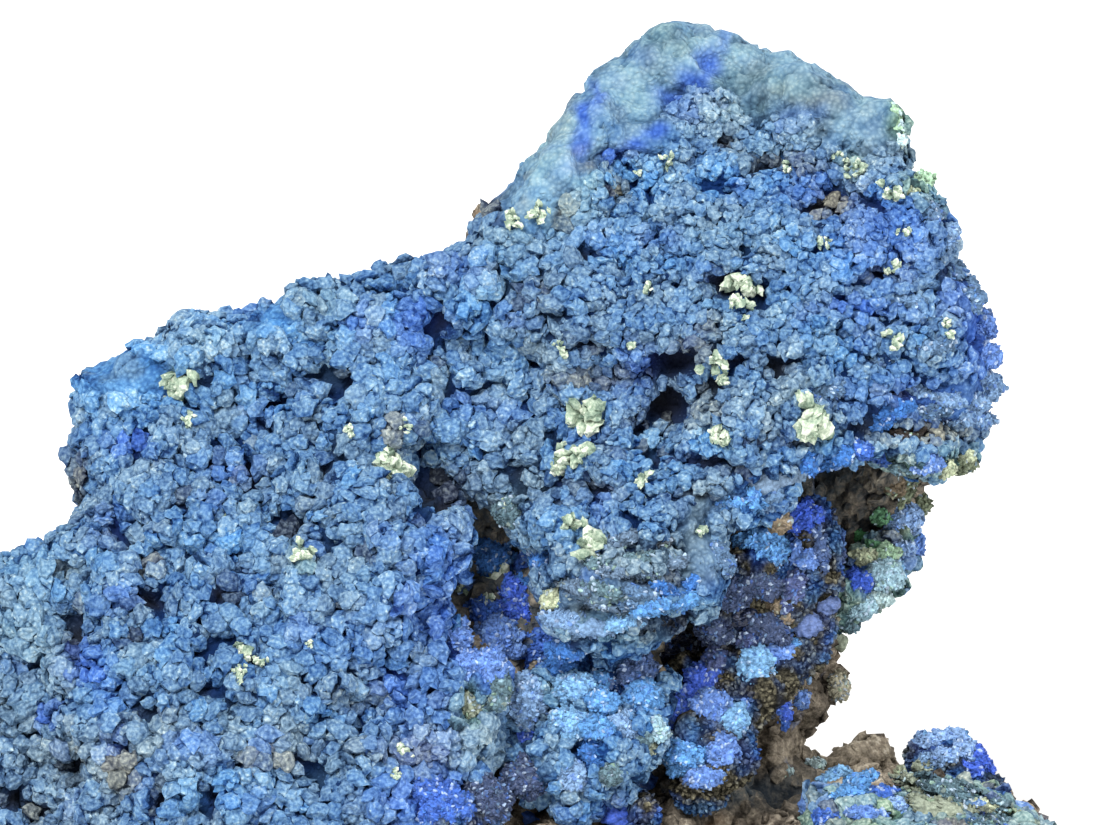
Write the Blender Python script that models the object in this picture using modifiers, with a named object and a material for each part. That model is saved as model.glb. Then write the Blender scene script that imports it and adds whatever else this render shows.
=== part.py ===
"""Azurite specimen: a granular azurite crust and rounded azurite nodules grown on a brown limonite matrix.

The stone is laid out upright, with X to the right, Z up and -Y towards the viewer, in millimetres. It is then
leaned back, broken off flat underneath and stood on Z = 0, with the middle of its box over the origin.
"""

import math

import bmesh
import bpy
import numpy as np
from mathutils import Matrix, Vector, noise

MM = 0.001

# Driving dimensions, in millimetres and degrees.
LEAN_BACK_DEG = 14.0  # how far the face tips back from upright
FACE_Y = -9.0  # the crust's face before its swells and recesses
CRUST_THICK = 7.0
MATRIX_BACK_Y = 13.0  # the back of the stone before its own swells
MATRIX_UNDER_CRUST = 3.0  # how far behind the crust's face the matrix would reach
CLEARANCE = 0.4  # left between two pieces that meet
CUTTER_SHARE = 0.5  # of a piece's faces that the cutter made from it keeps
BREAK_Z = 0.0  # the flat break that the stone stands on, once it leans back
FINE_VOXEL = 0.7
PLATE_VOXEL = 1.1
LUMP_REACH = 0.85  # how far a lump of the rough surface reaches from its centre, in spacings
MEAN_DOME = 0.75  # the mean height of such a lump, as a share of its full height

# Outlines seen square to the face, as (x, z) in millimetres. Both run clockwise from the lower left.
CRUST_OUTLINE = [
    (-36.5, 6), (-38, 13), (-37.5, 20), (-35, 25.5), (-32.5, 27), (-29, 27), (-26.8, 29.5), (-27.2, 33.5),
    (-27, 38), (-24.5, 40), (-20.5, 42.5), (-16.5, 43), (-13.5, 44), (-11.5, 44.7), (-9, 44.2), (-7.5, 45.5),
    (-3, 46), (-1.5, 48.5), (1, 50.5), (4, 55.5), (7, 58.5), (10, 61), (12.5, 61), (16, 60), (19, 59.5),
    (22, 57.5), (26, 55.5), (26.5, 52.5), (28.2, 50), (29.4, 48), (29.2, 46), (31.2, 43.5), (31.2, 40),
    (33, 37.5), (32.8, 35), (30.6, 32), (28, 31.5), (26, 33), (23.5, 33), (22, 32), (19.5, 32), (17, 29.5),
    (14, 30), (14, 26), (14, 24), (10, 22), (7.5, 20.5), (4, 21), (3, 24), (2.5, 27), (1, 29), (-1, 31),
    (-4.5, 34), (-4.5, 32.5), (-2.5, 29.5), (-2, 27), (-4, 25.5), (-4, 23.5), (-2, 22), (0.5, 20.5), (0, 17),
    (-1, 15), (0, 10.5), (0.5, 6), (-2, 2.5), (-8, 0.5), (-16, -0.5), (-26, 0), (-32.5, 2),
]  # fmt: skip
MATRIX_OUTLINE = [
    (-36, 6), (-37, 13), (-37, 19.5), (-34.5, 24.5), (-32, 26), (-28.5, 26), (-26, 29), (-26, 33),
    (-25.5, 37), (-24, 38.5), (-21, 40.5), (-16.5, 41.5), (-11.5, 43), (-9, 42.5), (-7, 43.5), (-3, 44),
    (-2, 45.5), (-1.5, 47), (0, 48.5), (2, 50), (5, 54), (8, 57), (10.5, 59.5), (12.5, 59.5),
    (15.5, 59), (19, 58), (21.5, 56), (25.5, 54.5), (26, 52), (28, 49.5), (29.5, 48), (29, 45.5),
    (31, 43), (30.5, 40), (32, 37.5), (31.5, 35.5), (30, 33), (27.5, 32), (26.5, 31.5), (27.5, 29.5),
    (27.5, 27), (26, 24.5), (23, 22.5), (21.6, 21), (21, 19), (20.5, 17), (19.2, 15), (18, 13),
    (19.5, 12.5), (22, 13.5), (25, 14), (26, 13), (27, 12), (32, 11.5), (36, 9), (38, 5.5), (38, 1),
    (36.5, -8), (-28.5, -8), (-34, 0),
]  # fmt: skip

# Swells (negative, towards the viewer) and recesses of the crust's face: x, z, spread, depth.
FACE_SWELLS = [
    (-18, 13, 13, -5.5),  # belly at the lower left
    (-39, 17, 8, 5.0),  # left end
    (-26, 41, 8, 3.5),  # left shoulder
    (-4, 37, 5, 1.8),  # dip between shoulder and head
    (13, 61, 9, 6.0),  # crown
    (18, 38, 9, -2.5),  # brow over the hollow
    (34, 38, 6, 4.0),  # right edge
    (8.5, 25.5, 4.0, -4.2),  # middle lobe
    (-6, 27, 4, -1.8),  # lip beside the cleft
    (10.7, 35.4, 1.5, 3.2),  # pit above the middle lobe
    (6.4, 37.8, 1.2, 1.8),
    (6.0, 33.4, 4.2, 1.2),  # step between the brow and the middle lobe
    (-27.4, 14.0, 1.4, 2.2),  # pits at the lower left
    (-33.5, 17.5, 1.2, 1.6),
    (-16.6, 33.0, 1.6, 1.4),  # pits in the shoulder
    (-13.2, 37.6, 1.4, 1.3),
    (-4.0, 33.2, 1.2, 3.0),  # crevice that runs up from the cleft
]
# Depths of the matrix's face below the crust's face: x, z, spread, depth.
HOLLOWS = [
    (22, 31, 5, 8.0),  # cave under the brow
    (16, 22, 6, 4.5),  # hollow beside the waist
    (8, 17, 6, 3.0),
    (-1, 27, 3, 6.0),  # cleft
    (3, 12, 5, 3.5),
    (24, 24, 4, 5.0),  # thin wall at the waist
]
# Swells of the back: x, z, spread, depth, positive outwards.
BACK_SWELLS = [
    (-14, 14, 14, 6.0),
    (18, 6, 12, 4.0),
    (14, 52, 12, -5.0),
    (-28, 34, 9, -5.0),
    (22, 22, 7, -5.0),
    (-38, 14, 9, -4.0),
]

# Lumps as (x, y, z, radius) or (x, y, z, radius x, radius y, radius z).
MATRIX_LUMPS = [
    (26, -1, 1, 12.5, 12, 10),  # foot under the lower right ledge
    (23.5, 5, 10.6, 4.6, 4, 3.8),  # ridge behind that ledge
    (8, -5, 1, 16, 8, 8.5),  # brown shelf below the nodules
    (-0.8, 3, 47.6, 1.5),  # knots that show at the neck
    (-2.0, 2, 46.0, 1.2),
    (21.4, 4, 18.2, 1.3),  # knot on the waist
    (0, 8, 4, 24, 8, 10),  # heel behind the base
]
HOLLOW_NODULES = [
    (20.2, -3.6, 28.3, 2.1, 1.9, 2.4), (20.4, -3.4, 25.4, 1.9), (18.6, -3.9, 24.2, 1.7),
    (15.6, -4.4, 26.2, 2.2, 2.0, 2.1), (18.0, -3.2, 26.3, 1.8), (14.5, -3.6, 23.4, 1.9),
    (16.8, -3.8, 22.4, 1.7), (20.6, -3.4, 22.9, 1.2), (19.6, -3.6, 21.2, 1.25), (17.9, -3.4, 20.3, 2.0),
    (15.2, -4.2, 20.8, 1.7), (16.9, -4.8, 18.9, 2.1, 1.8, 1.6), (14.2, -4.4, 18.2, 1.7),
    (12.7, -5.2, 16.0, 2.1), (14.4, -5.6, 14.6, 2.2, 1.9, 2.0), (13.0, -5.4, 12.9, 1.9),
    (15.3, -4.8, 17.0, 1.5), (12.2, -3.8, 19.8, 1.6),
]  # fmt: skip
LOWER_NODULES = [
    (3.0, -6.4, 19.0, 2.0), (0.8, -6.8, 17.6, 1.5), (5.3, -7.6, 17.6, 2.2), (8.0, -6.6, 18.6, 2.0),
    (6.6, -8.0, 15.6, 2.6), (3.9, -8.2, 15.4, 2.2), (8.9, -7.4, 15.7, 1.8), (5.0, -7.6, 13.0, 1.8),
    (2.9, -7.0, 13.4, 1.4), (7.3, -7.0, 13.2, 1.4), (10.2, -6.0, 19.2, 1.7), (9.9, -6.2, 17.3, 1.4),
    (1.6, -7.4, 15.2, 1.5),
]  # fmt: skip
DOME_NODULES = [
    (-3.2, -10.4, 10.4, 2.7), (-1.4, -9.8, 11.9, 1.6), (-4.9, -11.0, 9.2, 2.0), (-1.2, -10.2, 8.8, 1.8),
]
BALL_NODULES = [(9.1, -7.6, 11.2, 1.3), (9.6, -6.9, 11.9, 0.9)]
SHELF_NODULES = [(6.0, -11.6, 9.2, 1.2), (7.2, -11.9, 8.8, 1.3), (8.2, -11.6, 8.5, 1.0)]
LEDGE_CRUST = [
    (23.5, -4.5, 9.5, 4.2, 4.5, 3.0), (28.0, -3.5, 9.5, 4.6, 5.5, 3.2), (32.4, -2.5, 7.9, 4.0, 5.0, 3.2),
    (25.5, -9.0, 6.8, 5.5, 4.5, 4.0), (31.0, -8.0, 5.5, 5.0, 4.5, 4.0), (21.0, -5.5, 11.2, 1.8),
    (29.4, -1.5, 11.0, 3.4, 3.0, 1.8),
]  # fmt: skip
KNOB = [
    (29.2, 3.2, 13.4, 2.3), (27.6, 3.0, 13.6, 1.4), (30.7, 3.4, 12.4, 1.7), (28.9, 3.2, 14.9, 1.1),
    (31.8, 3.2, 11.3, 1.3), (28.3, 2.6, 12.2, 1.4), (30.3, 3.0, 14.1, 1.2),
]
RIM_LUMPS = [
    (27.0, 3.4, 28.4, 1.5), (26.0, 2.8, 26.9, 1.7), (27.4, 3.4, 26.9, 1.2), (25.0, 1.8, 25.2, 1.8),
    (26.0, 2.2, 24.5, 1.4), (23.6, 1.2, 24.4, 1.7), (24.5, 1.6, 23.6, 1.2), (22.9, 1.4, 23.0, 1.1),
    (23.3, 1.8, 26.4, 1.2), (25.0, 2.6, 27.9, 1.2),
]  # fmt: skip

COLOURS = {
    "azurite": ((0.07, 0.16, 0.45), 0.75),
    "deep_azurite": ((0.04, 0.08, 0.42), 0.6),
    "azurite_on_malachite": ((0.16, 0.36, 0.42), 0.75),
    "limonite": ((0.13, 0.095, 0.065), 0.9),
}


# ---------------------------------------------------------------- scene and materials
def clear_scene():
    for obj in list(bpy.data.objects):
        bpy.data.objects.remove(obj)


def make_material(name):
    colour, roughness = COLOURS[name]
    material = bpy.data.materials.new(name)
    material.use_nodes = True
    shader = material.node_tree.nodes["Principled BSDF"]
    shader.inputs["Base Color"].default_value = (*colour, 1.0)
    shader.inputs["Roughness"].default_value = roughness
    shader.inputs["Metallic"].default_value = 0.0
    return material


def link(obj):
    bpy.context.scene.collection.objects.link(obj)
    return obj


def baked(obj, name):
    """A plain mesh object from what the modifiers or the curve make of obj, which is removed."""
    bpy.context.view_layer.update()
    graph = bpy.context.evaluated_depsgraph_get()
    mesh = bpy.data.meshes.new_from_object(obj.evaluated_get(graph))
    made = link(bpy.data.objects.new("baked", mesh))
    made.matrix_world = obj.matrix_world
    bpy.data.objects.remove(obj)
    made.name = name
    return made


def coordinates(obj):
    points = np.empty(len(obj.data.vertices) * 3)
    obj.data.vertices.foreach_get("co", points)
    return points.reshape(-1, 3)


def set_coordinates(obj, points):
    obj.data.vertices.foreach_set("co", points.ravel())
    obj.data.update()


# ---------------------------------------------------------------- form of the stone
def swell(x, z, bumps):
    """Sum of smooth bumps (x, z, spread, depth) at the points x, z, all in millimetres."""
    total = np.zeros_like(x)
    for at_x, at_z, spread, depth in bumps:
        total += depth * np.exp(-((x - at_x) ** 2 + (z - at_z) ** 2) / (2 * spread**2))
    return total


def crust_face(x, z):
    return FACE_Y + swell(x, z, FACE_SWELLS)


def crust_back(x, z):
    return crust_face(x, z) + CRUST_THICK


def matrix_face(x, z):
    return crust_face(x, z) + MATRIX_UNDER_CRUST + swell(x, z, HOLLOWS)


def matrix_back(x, z):
    return MATRIX_BACK_Y + swell(x, z, BACK_SWELLS)


def distance_to_outline(x, z, outline):
    nearest = np.full_like(x, np.inf)
    for (x0, z0), (x1, z1) in zip(outline, outline[1:] + outline[:1]):
        dx, dz = x1 - x0, z1 - z0
        along = np.clip(((x - x0) * dx + (z - z0) * dz) / (dx * dx + dz * dz), 0, 1)
        nearest = np.minimum(nearest, np.hypot(x - x0 - along * dx, z - z0 - along * dz))
    return nearest


def flat_plate(name, outline, thick):
    """A plate of that outline in the XZ plane with an even mesh, from a filled curve."""
    curve = bpy.data.curves.new(name, "CURVE")
    curve.dimensions = "2D"
    curve.fill_mode = "BOTH"
    curve.extrude = thick / 2 * MM
    spline = curve.splines.new("POLY")
    spline.points.add(len(outline) - 1)
    for point, (x, z) in zip(spline.points, outline):
        point.co = (x * MM, z * MM, 0, 1)
    spline.use_cyclic_u = True
    plate = baked(link(bpy.data.objects.new(name, curve)), name)
    plate.data.transform(Matrix.Rotation(math.radians(90), 4, "X"))
    return even_skin(plate, PLATE_VOXEL)


def even_skin(obj, voxel):
    """One closed skin round everything in obj, as evenly sized faces."""
    remesh = obj.modifiers.new("even skin", "REMESH")
    remesh.mode = "VOXEL"
    remesh.voxel_size = voxel * MM
    return baked(obj, obj.name)


def shape_plate(plate, outline, thick, face, back, rim):
    """Bends the plate's two sides to the depths face(x, z) and back(x, z), rounded over rim mm at its outline."""
    points = coordinates(plate) / MM
    x, y, z = points.T
    side = np.clip(y / (thick / 2), -1, 1)
    near = np.clip(distance_to_outline(x, z, outline) / rim, 0, 1)
    fullness = 0.25 + 0.75 * np.sqrt(1 - (1 - near) ** 2)
    middle = (face(x, z) + back(x, z)) / 2
    half = (back(x, z) - face(x, z)) / 2
    points[:, 1] = middle + side * half * fullness
    set_coordinates(plate, points * MM)


def add_lumps(obj, lumps):
    mesh = bmesh.new()
    mesh.from_mesh(obj.data)
    for x, y, z, *radii in lumps:
        radii = radii * 3 if len(radii) == 1 else radii
        place = Matrix.Translation(Vector((x, y, z)) * MM) @ Matrix.Diagonal((*(r * MM for r in radii), 1))
        bmesh.ops.create_icosphere(mesh, subdivisions=3, radius=1, matrix=place)
    mesh.to_mesh(obj.data)
    mesh.free()


def lump_group(name, lumps):
    group = link(bpy.data.objects.new(name, bpy.data.meshes.new(name)))
    add_lumps(group, lumps)
    return group


def roughen(obj, layers, front_only=False):
    """Covers obj in rounded lumps with creases between them, or in pits with ridges where a height is negative.

    Each layer is (distance between lumps, height, seed), in millimetres. With front_only, the side that lies on
    the matrix stays smooth.
    """
    points = coordinates(obj)
    normals = np.array([v.normal for v in obj.data.vertices])
    share = np.clip(0.7 - 1.4 * normals[:, 1], 0, 1) if front_only else np.ones(len(points))
    for spacing, height, seed in layers:
        shift = Vector((seed * 7.3, seed * 3.1, seed * 5.7))
        centre_away = np.array([noise.voronoi(Vector(p) / (spacing * MM) + shift)[0][0] for p in points])
        dome = np.sqrt(np.clip(1 - (centre_away / LUMP_REACH) ** 2, 0, 1))
        lift = height * (dome - MEAN_DOME) * share
        points = points + normals * lift[:, None] * MM
    set_coordinates(obj, points)


def soften(obj, rounds):
    mesh = bmesh.new()
    mesh.from_mesh(obj.data)
    for _ in range(rounds):
        bmesh.ops.smooth_vert(mesh, verts=mesh.verts, factor=0.5, use_axis_x=True, use_axis_y=True, use_axis_z=True)
    mesh.to_mesh(obj.data)
    mesh.free()


def thin_out(obj, triangles):
    """Fewer faces where the surface is plain, down to about that many triangles."""
    obj.data.calc_loop_triangles()
    decimate = obj.modifiers.new("thin out", "DECIMATE")
    decimate.ratio = min(1.0, triangles / len(obj.data.loop_triangles))
    decimate.use_collapse_triangulate = True
    return baked(obj, obj.name)


# ---------------------------------------------------------------- fitting the pieces together
def grown(obj, cutters):
    """A hidden and plainer copy of obj, larger all round by the clearance."""
    copy = link(bpy.data.objects.new(obj.name + "_cutter", obj.data.copy()))
    copy = thin_out(copy, CUTTER_SHARE * len(obj.data.polygons))
    bpy.context.scene.collection.objects.unlink(copy)
    cutters.objects.link(copy)
    copy.hide_render = True
    copy.display_type = "WIRE"
    normals = np.array([v.normal for v in copy.data.vertices])
    set_coordinates(copy, coordinates(copy) + normals * CLEARANCE * MM)
    return copy


def box_of(obj):
    points = coordinates(obj)
    return points.min(axis=0), points.max(axis=0)


def boxes_meet(first, second):
    (low_a, high_a), (low_b, high_b) = box_of(first), box_of(second)
    return bool((low_a < high_b).all() and (low_b < high_a).all())


def fit_round(obj, others):
    """Cuts the other pieces, each with its clearance, out of obj and keeps the largest body that is left."""
    for other in others:
        if not boxes_meet(obj, other):
            continue
        boolean = obj.modifiers.new("room for " + other.name, "BOOLEAN")
        boolean.operation = "DIFFERENCE"
        boolean.solver = "EXACT"
        boolean.use_self = True
        boolean.object = other
    return keep_largest_body(baked(obj, obj.name))


def keep_largest_body(obj):
    mesh = bmesh.new()
    mesh.from_mesh(obj.data)
    bmesh.ops.remove_doubles(mesh, verts=mesh.verts, dist=0.01 * MM)
    left = set(mesh.verts)
    bodies = []
    while left:
        start = left.pop()
        body, todo = {start}, [start]
        while todo:
            for edge in todo.pop().link_edges:
                for vert in edge.verts:
                    if vert in left:
                        left.remove(vert)
                        body.add(vert)
                        todo.append(vert)
        bodies.append(body)
    largest = max(bodies, key=len)
    bmesh.ops.delete(mesh, geom=[v for v in mesh.verts if v not in largest], context="VERTS")
    mesh.to_mesh(obj.data)
    mesh.free()
    return obj


def lean_back(obj):
    obj.data.transform(Matrix.Rotation(math.radians(-LEAN_BACK_DEG), 4, "X"))


def break_off_flat(obj):
    """Cuts the foot off level, which leaves the flat face that the stone stands on."""
    mesh = bmesh.new()
    mesh.from_mesh(obj.data)
    everything = mesh.verts[:] + mesh.edges[:] + mesh.faces[:]
    level = Vector((0, 0, BREAK_Z * MM))
    cut = bmesh.ops.bisect_plane(mesh, geom=everything, plane_co=level, plane_no=(0, 0, 1), clear_inner=True)
    edges = [item for item in cut["geom_cut"] if isinstance(item, bmesh.types.BMEdge)]
    bmesh.ops.holes_fill(mesh, edges=edges)
    mesh.to_mesh(obj.data)
    mesh.free()


def centre_over_origin(pieces):
    boxes = [box_of(piece) for piece in pieces]
    low = np.min([low for low, _ in boxes], axis=0)
    high = np.max([high for _, high in boxes], axis=0)
    shift = Vector((-(low[0] + high[0]) / 2, -(low[1] + high[1]) / 2, -low[2]))
    for piece in pieces:
        piece.data.transform(Matrix.Translation(shift))


# ---------------------------------------------------------------- the pieces
def make_crust():
    """The granular azurite crust: the whole face, with the brow, the middle lobe and the cleft."""
    crust = flat_plate("azurite_crust", CRUST_OUTLINE, CRUST_THICK)
    shape_plate(crust, CRUST_OUTLINE, CRUST_THICK, crust_face, crust_back, rim=2.6)
    add_lumps(crust, LOWER_NODULES)
    crust = even_skin(crust, FINE_VOXEL)
    soften(crust, 1)
    roughen(crust, [(8.5, 1.8, 1), (3.6, 1.7, 2)], front_only=True)
    return thin_out(crust, 4500)


def make_nodules(name, lumps, triangles, layers=((2.2, 0.45, 3),)):
    nodules = even_skin(lump_group(name, lumps), 0.35)
    soften(nodules, 1)
    roughen(nodules, layers)
    return thin_out(nodules, triangles)


def make_matrix():
    """The brown limonite rock that carries the rest and shows in the hollow, at the waist, behind and below."""
    thick = 20.0
    matrix = flat_plate("limonite_matrix", MATRIX_OUTLINE, thick)
    shape_plate(matrix, MATRIX_OUTLINE, thick, matrix_face, matrix_back, rim=7.0)
    add_lumps(matrix, MATRIX_LUMPS)
    matrix = even_skin(matrix, 1.0)
    soften(matrix, 2)
    roughen(matrix, [(13.0, 2.2, 4), (6.0, -2.0, 5)])
    return thin_out(matrix, 2040)


def main():
    clear_scene()
    specimen = bpy.data.collections.new("azurite_specimen")
    cutters = bpy.data.collections.new("cutters")
    bpy.context.scene.collection.children.link(specimen)
    bpy.context.scene.collection.children.link(cutters)

    crust = make_crust()
    hollow = make_nodules("hollow_nodules", HOLLOW_NODULES, 680)
    dome = make_nodules("azurite_dome", DOME_NODULES, 220)
    ball = make_nodules("azurite_ball", BALL_NODULES, 90)
    shelf = make_nodules("shelf_nodules", SHELF_NODULES, 110)
    ledge = make_nodules("ledge_crust", LEDGE_CRUST, 600, ((3.4, 1.1, 6),))
    knob = make_nodules("azurite_knob", KNOB, 220)
    rim = make_nodules("rim_crust", RIM_LUMPS, 360)
    matrix = make_matrix()

    fitted = [crust]
    for piece in (hollow, dome, ball, shelf, ledge, knob, rim, matrix):
        fitted.append(fit_round(piece, [grown(other, cutters) for other in fitted]))

    for piece in fitted:
        lean_back(piece)
    break_off_flat(fitted[-1])
    centre_over_origin(fitted)

    slots = {
        "azurite_crust": "azurite",
        "hollow_nodules": "deep_azurite",
        "azurite_dome": "deep_azurite",
        "azurite_ball": "deep_azurite",
        "shelf_nodules": "deep_azurite",
        "ledge_crust": "azurite_on_malachite",
        "azurite_knob": "deep_azurite",
        "rim_crust": "azurite_on_malachite",
        "limonite_matrix": "limonite",
    }
    materials = {name: make_material(name) for name in COLOURS}
    for piece in fitted:
        bpy.context.scene.collection.objects.unlink(piece)
        specimen.objects.link(piece)
        piece.data.materials.clear()
        piece.data.materials.append(materials[slots[piece.name]])


main()
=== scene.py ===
# Azurite specimen: a granular blue azurite crust and rounded nodules of fresh azurite on brown limonite.
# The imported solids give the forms. This script grows the crumbs, the druse and the rock surface on them.

import math

import bmesh
import bpy
import numpy as np
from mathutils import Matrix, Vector, kdtree, noise
from mathutils.bvhtree import BVHTree


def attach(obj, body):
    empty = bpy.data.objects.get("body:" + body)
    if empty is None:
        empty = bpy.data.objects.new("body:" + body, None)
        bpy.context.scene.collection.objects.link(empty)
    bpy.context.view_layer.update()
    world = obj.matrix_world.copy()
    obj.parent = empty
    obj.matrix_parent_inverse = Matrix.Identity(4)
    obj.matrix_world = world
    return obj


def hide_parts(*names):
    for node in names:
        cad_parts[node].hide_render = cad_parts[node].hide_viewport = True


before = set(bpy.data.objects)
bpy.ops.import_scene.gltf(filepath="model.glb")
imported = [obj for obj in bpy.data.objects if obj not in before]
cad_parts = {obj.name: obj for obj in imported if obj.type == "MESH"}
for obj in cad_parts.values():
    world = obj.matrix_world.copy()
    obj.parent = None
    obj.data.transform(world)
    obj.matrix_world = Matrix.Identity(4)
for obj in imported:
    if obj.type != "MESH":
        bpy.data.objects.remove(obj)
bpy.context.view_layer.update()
mm = 0.001
floorGap = 0.02 * mm  # nothing comes closer to the floor
rng = np.random.default_rng(7)

# The view: where the camera stands, and how its pixels are counted, from the top left corner.
view = {
    "width": 71.5 * mm,  # what it takes in at the stone
    "distance": 380 * mm,  # from the lens to the stone
    "elevationDeg": 14.0,
    "aimAcross": 2.55 * mm,  # its middle, across and up, square to the line of sight, from the frame's origin
    "aimUp": 35.3 * mm,
    "pixelsAcross": 1100,
    "pixelsDown": 825,
    "sensor": 36.0,
}
elevation = math.radians(view["elevationDeg"])
pixel = view["width"] / view["pixelsAcross"]  # one pixel's width at the stone
viewAcross = Vector((1, 0, 0))
viewUp = Vector((0, math.sin(elevation), math.cos(elevation)))
viewAway = Vector((0, math.cos(elevation), -math.sin(elevation)))
aim = viewAcross * view["aimAcross"] + viewUp * view["aimUp"]
lensPlace = aim - viewAway * view["distance"]


def linearColour(text):
    # sRGB hex to the linear values that the shaders take
    parts = [int(text[k:k + 2], 16) / 255 for k in (1, 3, 5)]
    return (*(c / 12.92 if c <= 0.04045 else ((c + 0.055) / 1.055) ** 2.4 for c in parts), 1.0)


def linked(obj):
    bpy.context.scene.collection.objects.link(obj)
    return obj


def pixelsOf(points):
    # where points fall in the view
    away = points - np.array(lensPlace)
    scale = view["distance"] / (away @ np.array(viewAway)) / pixel
    x = view["pixelsAcross"] / 2 + (away @ np.array(viewAcross)) * scale
    y = view["pixelsDown"] / 2 - (away @ np.array(viewUp)) * scale
    return x, y


def rayThrough(x, y):
    # the direction from the lens through a pixel
    across = (x - view["pixelsAcross"] / 2) * pixel
    up = (view["pixelsDown"] / 2 - y) * pixel
    return (viewAway * view["distance"] + viewAcross * across + viewUp * up).normalized()


# camera, floor and light

stage = {
    "floorRadius": 3.0,
    "floorColour": "#f7f6f4",
    "skyColour": "#ffffff",
    "skyStrength": 0.57,
    "lamps": [  # name, place, power, size
        ("key light", (-0.25, -0.45, 0.62), 8.6, 0.42),
        ("fill light", (0.55, -0.35, 0.3), 3.2, 0.6),
        ("back light", (0.2, 0.55, 0.45), 3.0, 0.5),
    ],
}


def addNode(tree, kind, settings=None, links=None, stops=None):
    node = tree.nodes.new(kind)
    for name, value in (settings or {}).items():
        if isinstance(name, int) or name in node.inputs:
            node.inputs[name].default_value = value
        else:
            setattr(node, name, value)
    for name, source in (links or {}).items():
        tree.links.new(source, node.inputs[name])
    if stops:
        ramp = node.color_ramp
        while len(ramp.elements) < len(stops):
            ramp.elements.new(1.0)
        for element, (place, colour) in zip(ramp.elements, stops):
            element.position = place
            element.color = linearColour(colour)
    return node


def newMaterial(name):
    material = bpy.data.materials.new(name)
    material.use_nodes = True
    material.node_tree.nodes.clear()
    return material, material.node_tree


def makeStage():
    data = bpy.data.cameras.new("camera")
    data.sensor_width = view["sensor"]
    data.lens = view["sensor"] * view["distance"] / view["width"]
    data.clip_start = 0.01
    data.clip_end = 20
    camera = linked(bpy.data.objects.new("camera", data))
    camera.location = lensPlace
    camera.rotation_euler = (math.radians(90) - elevation, 0, 0)
    bpy.context.scene.camera = camera

    bm = bmesh.new()
    bmesh.ops.create_circle(bm, cap_ends=True, radius=stage["floorRadius"], segments=64)
    mesh = bpy.data.meshes.new("floor")
    bm.to_mesh(mesh)
    bm.free()
    material, tree = newMaterial("matt white board")
    shader = addNode(
        tree, "ShaderNodeBsdfPrincipled", {"Base Color": linearColour(stage["floorColour"]), "Roughness": 0.95}
    )
    addNode(tree, "ShaderNodeOutputMaterial", links={"Surface": shader.outputs[0]})
    mesh.materials.append(material)
    linked(bpy.data.objects.new("floor", mesh))

    for name, place, power, size in stage["lamps"]:
        light = bpy.data.lights.new(name, "AREA")
        light.energy = power
        light.shape = "DISK"
        light.size = size
        obj = linked(bpy.data.objects.new(name, light))
        obj.location = place
        obj.rotation_euler = (aim - Vector(place)).to_track_quat("-Z", "Y").to_euler()
    world = bpy.data.worlds.new("studio")
    world.use_nodes = True
    sky = world.node_tree.nodes["Background"]
    sky.inputs["Color"].default_value = linearColour(stage["skyColour"])
    sky.inputs["Strength"].default_value = stage["skyStrength"]
    bpy.context.scene.world = world
    bpy.context.scene.view_settings.view_transform = "Standard"


makeStage()
print("camera, floor and light")

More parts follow.
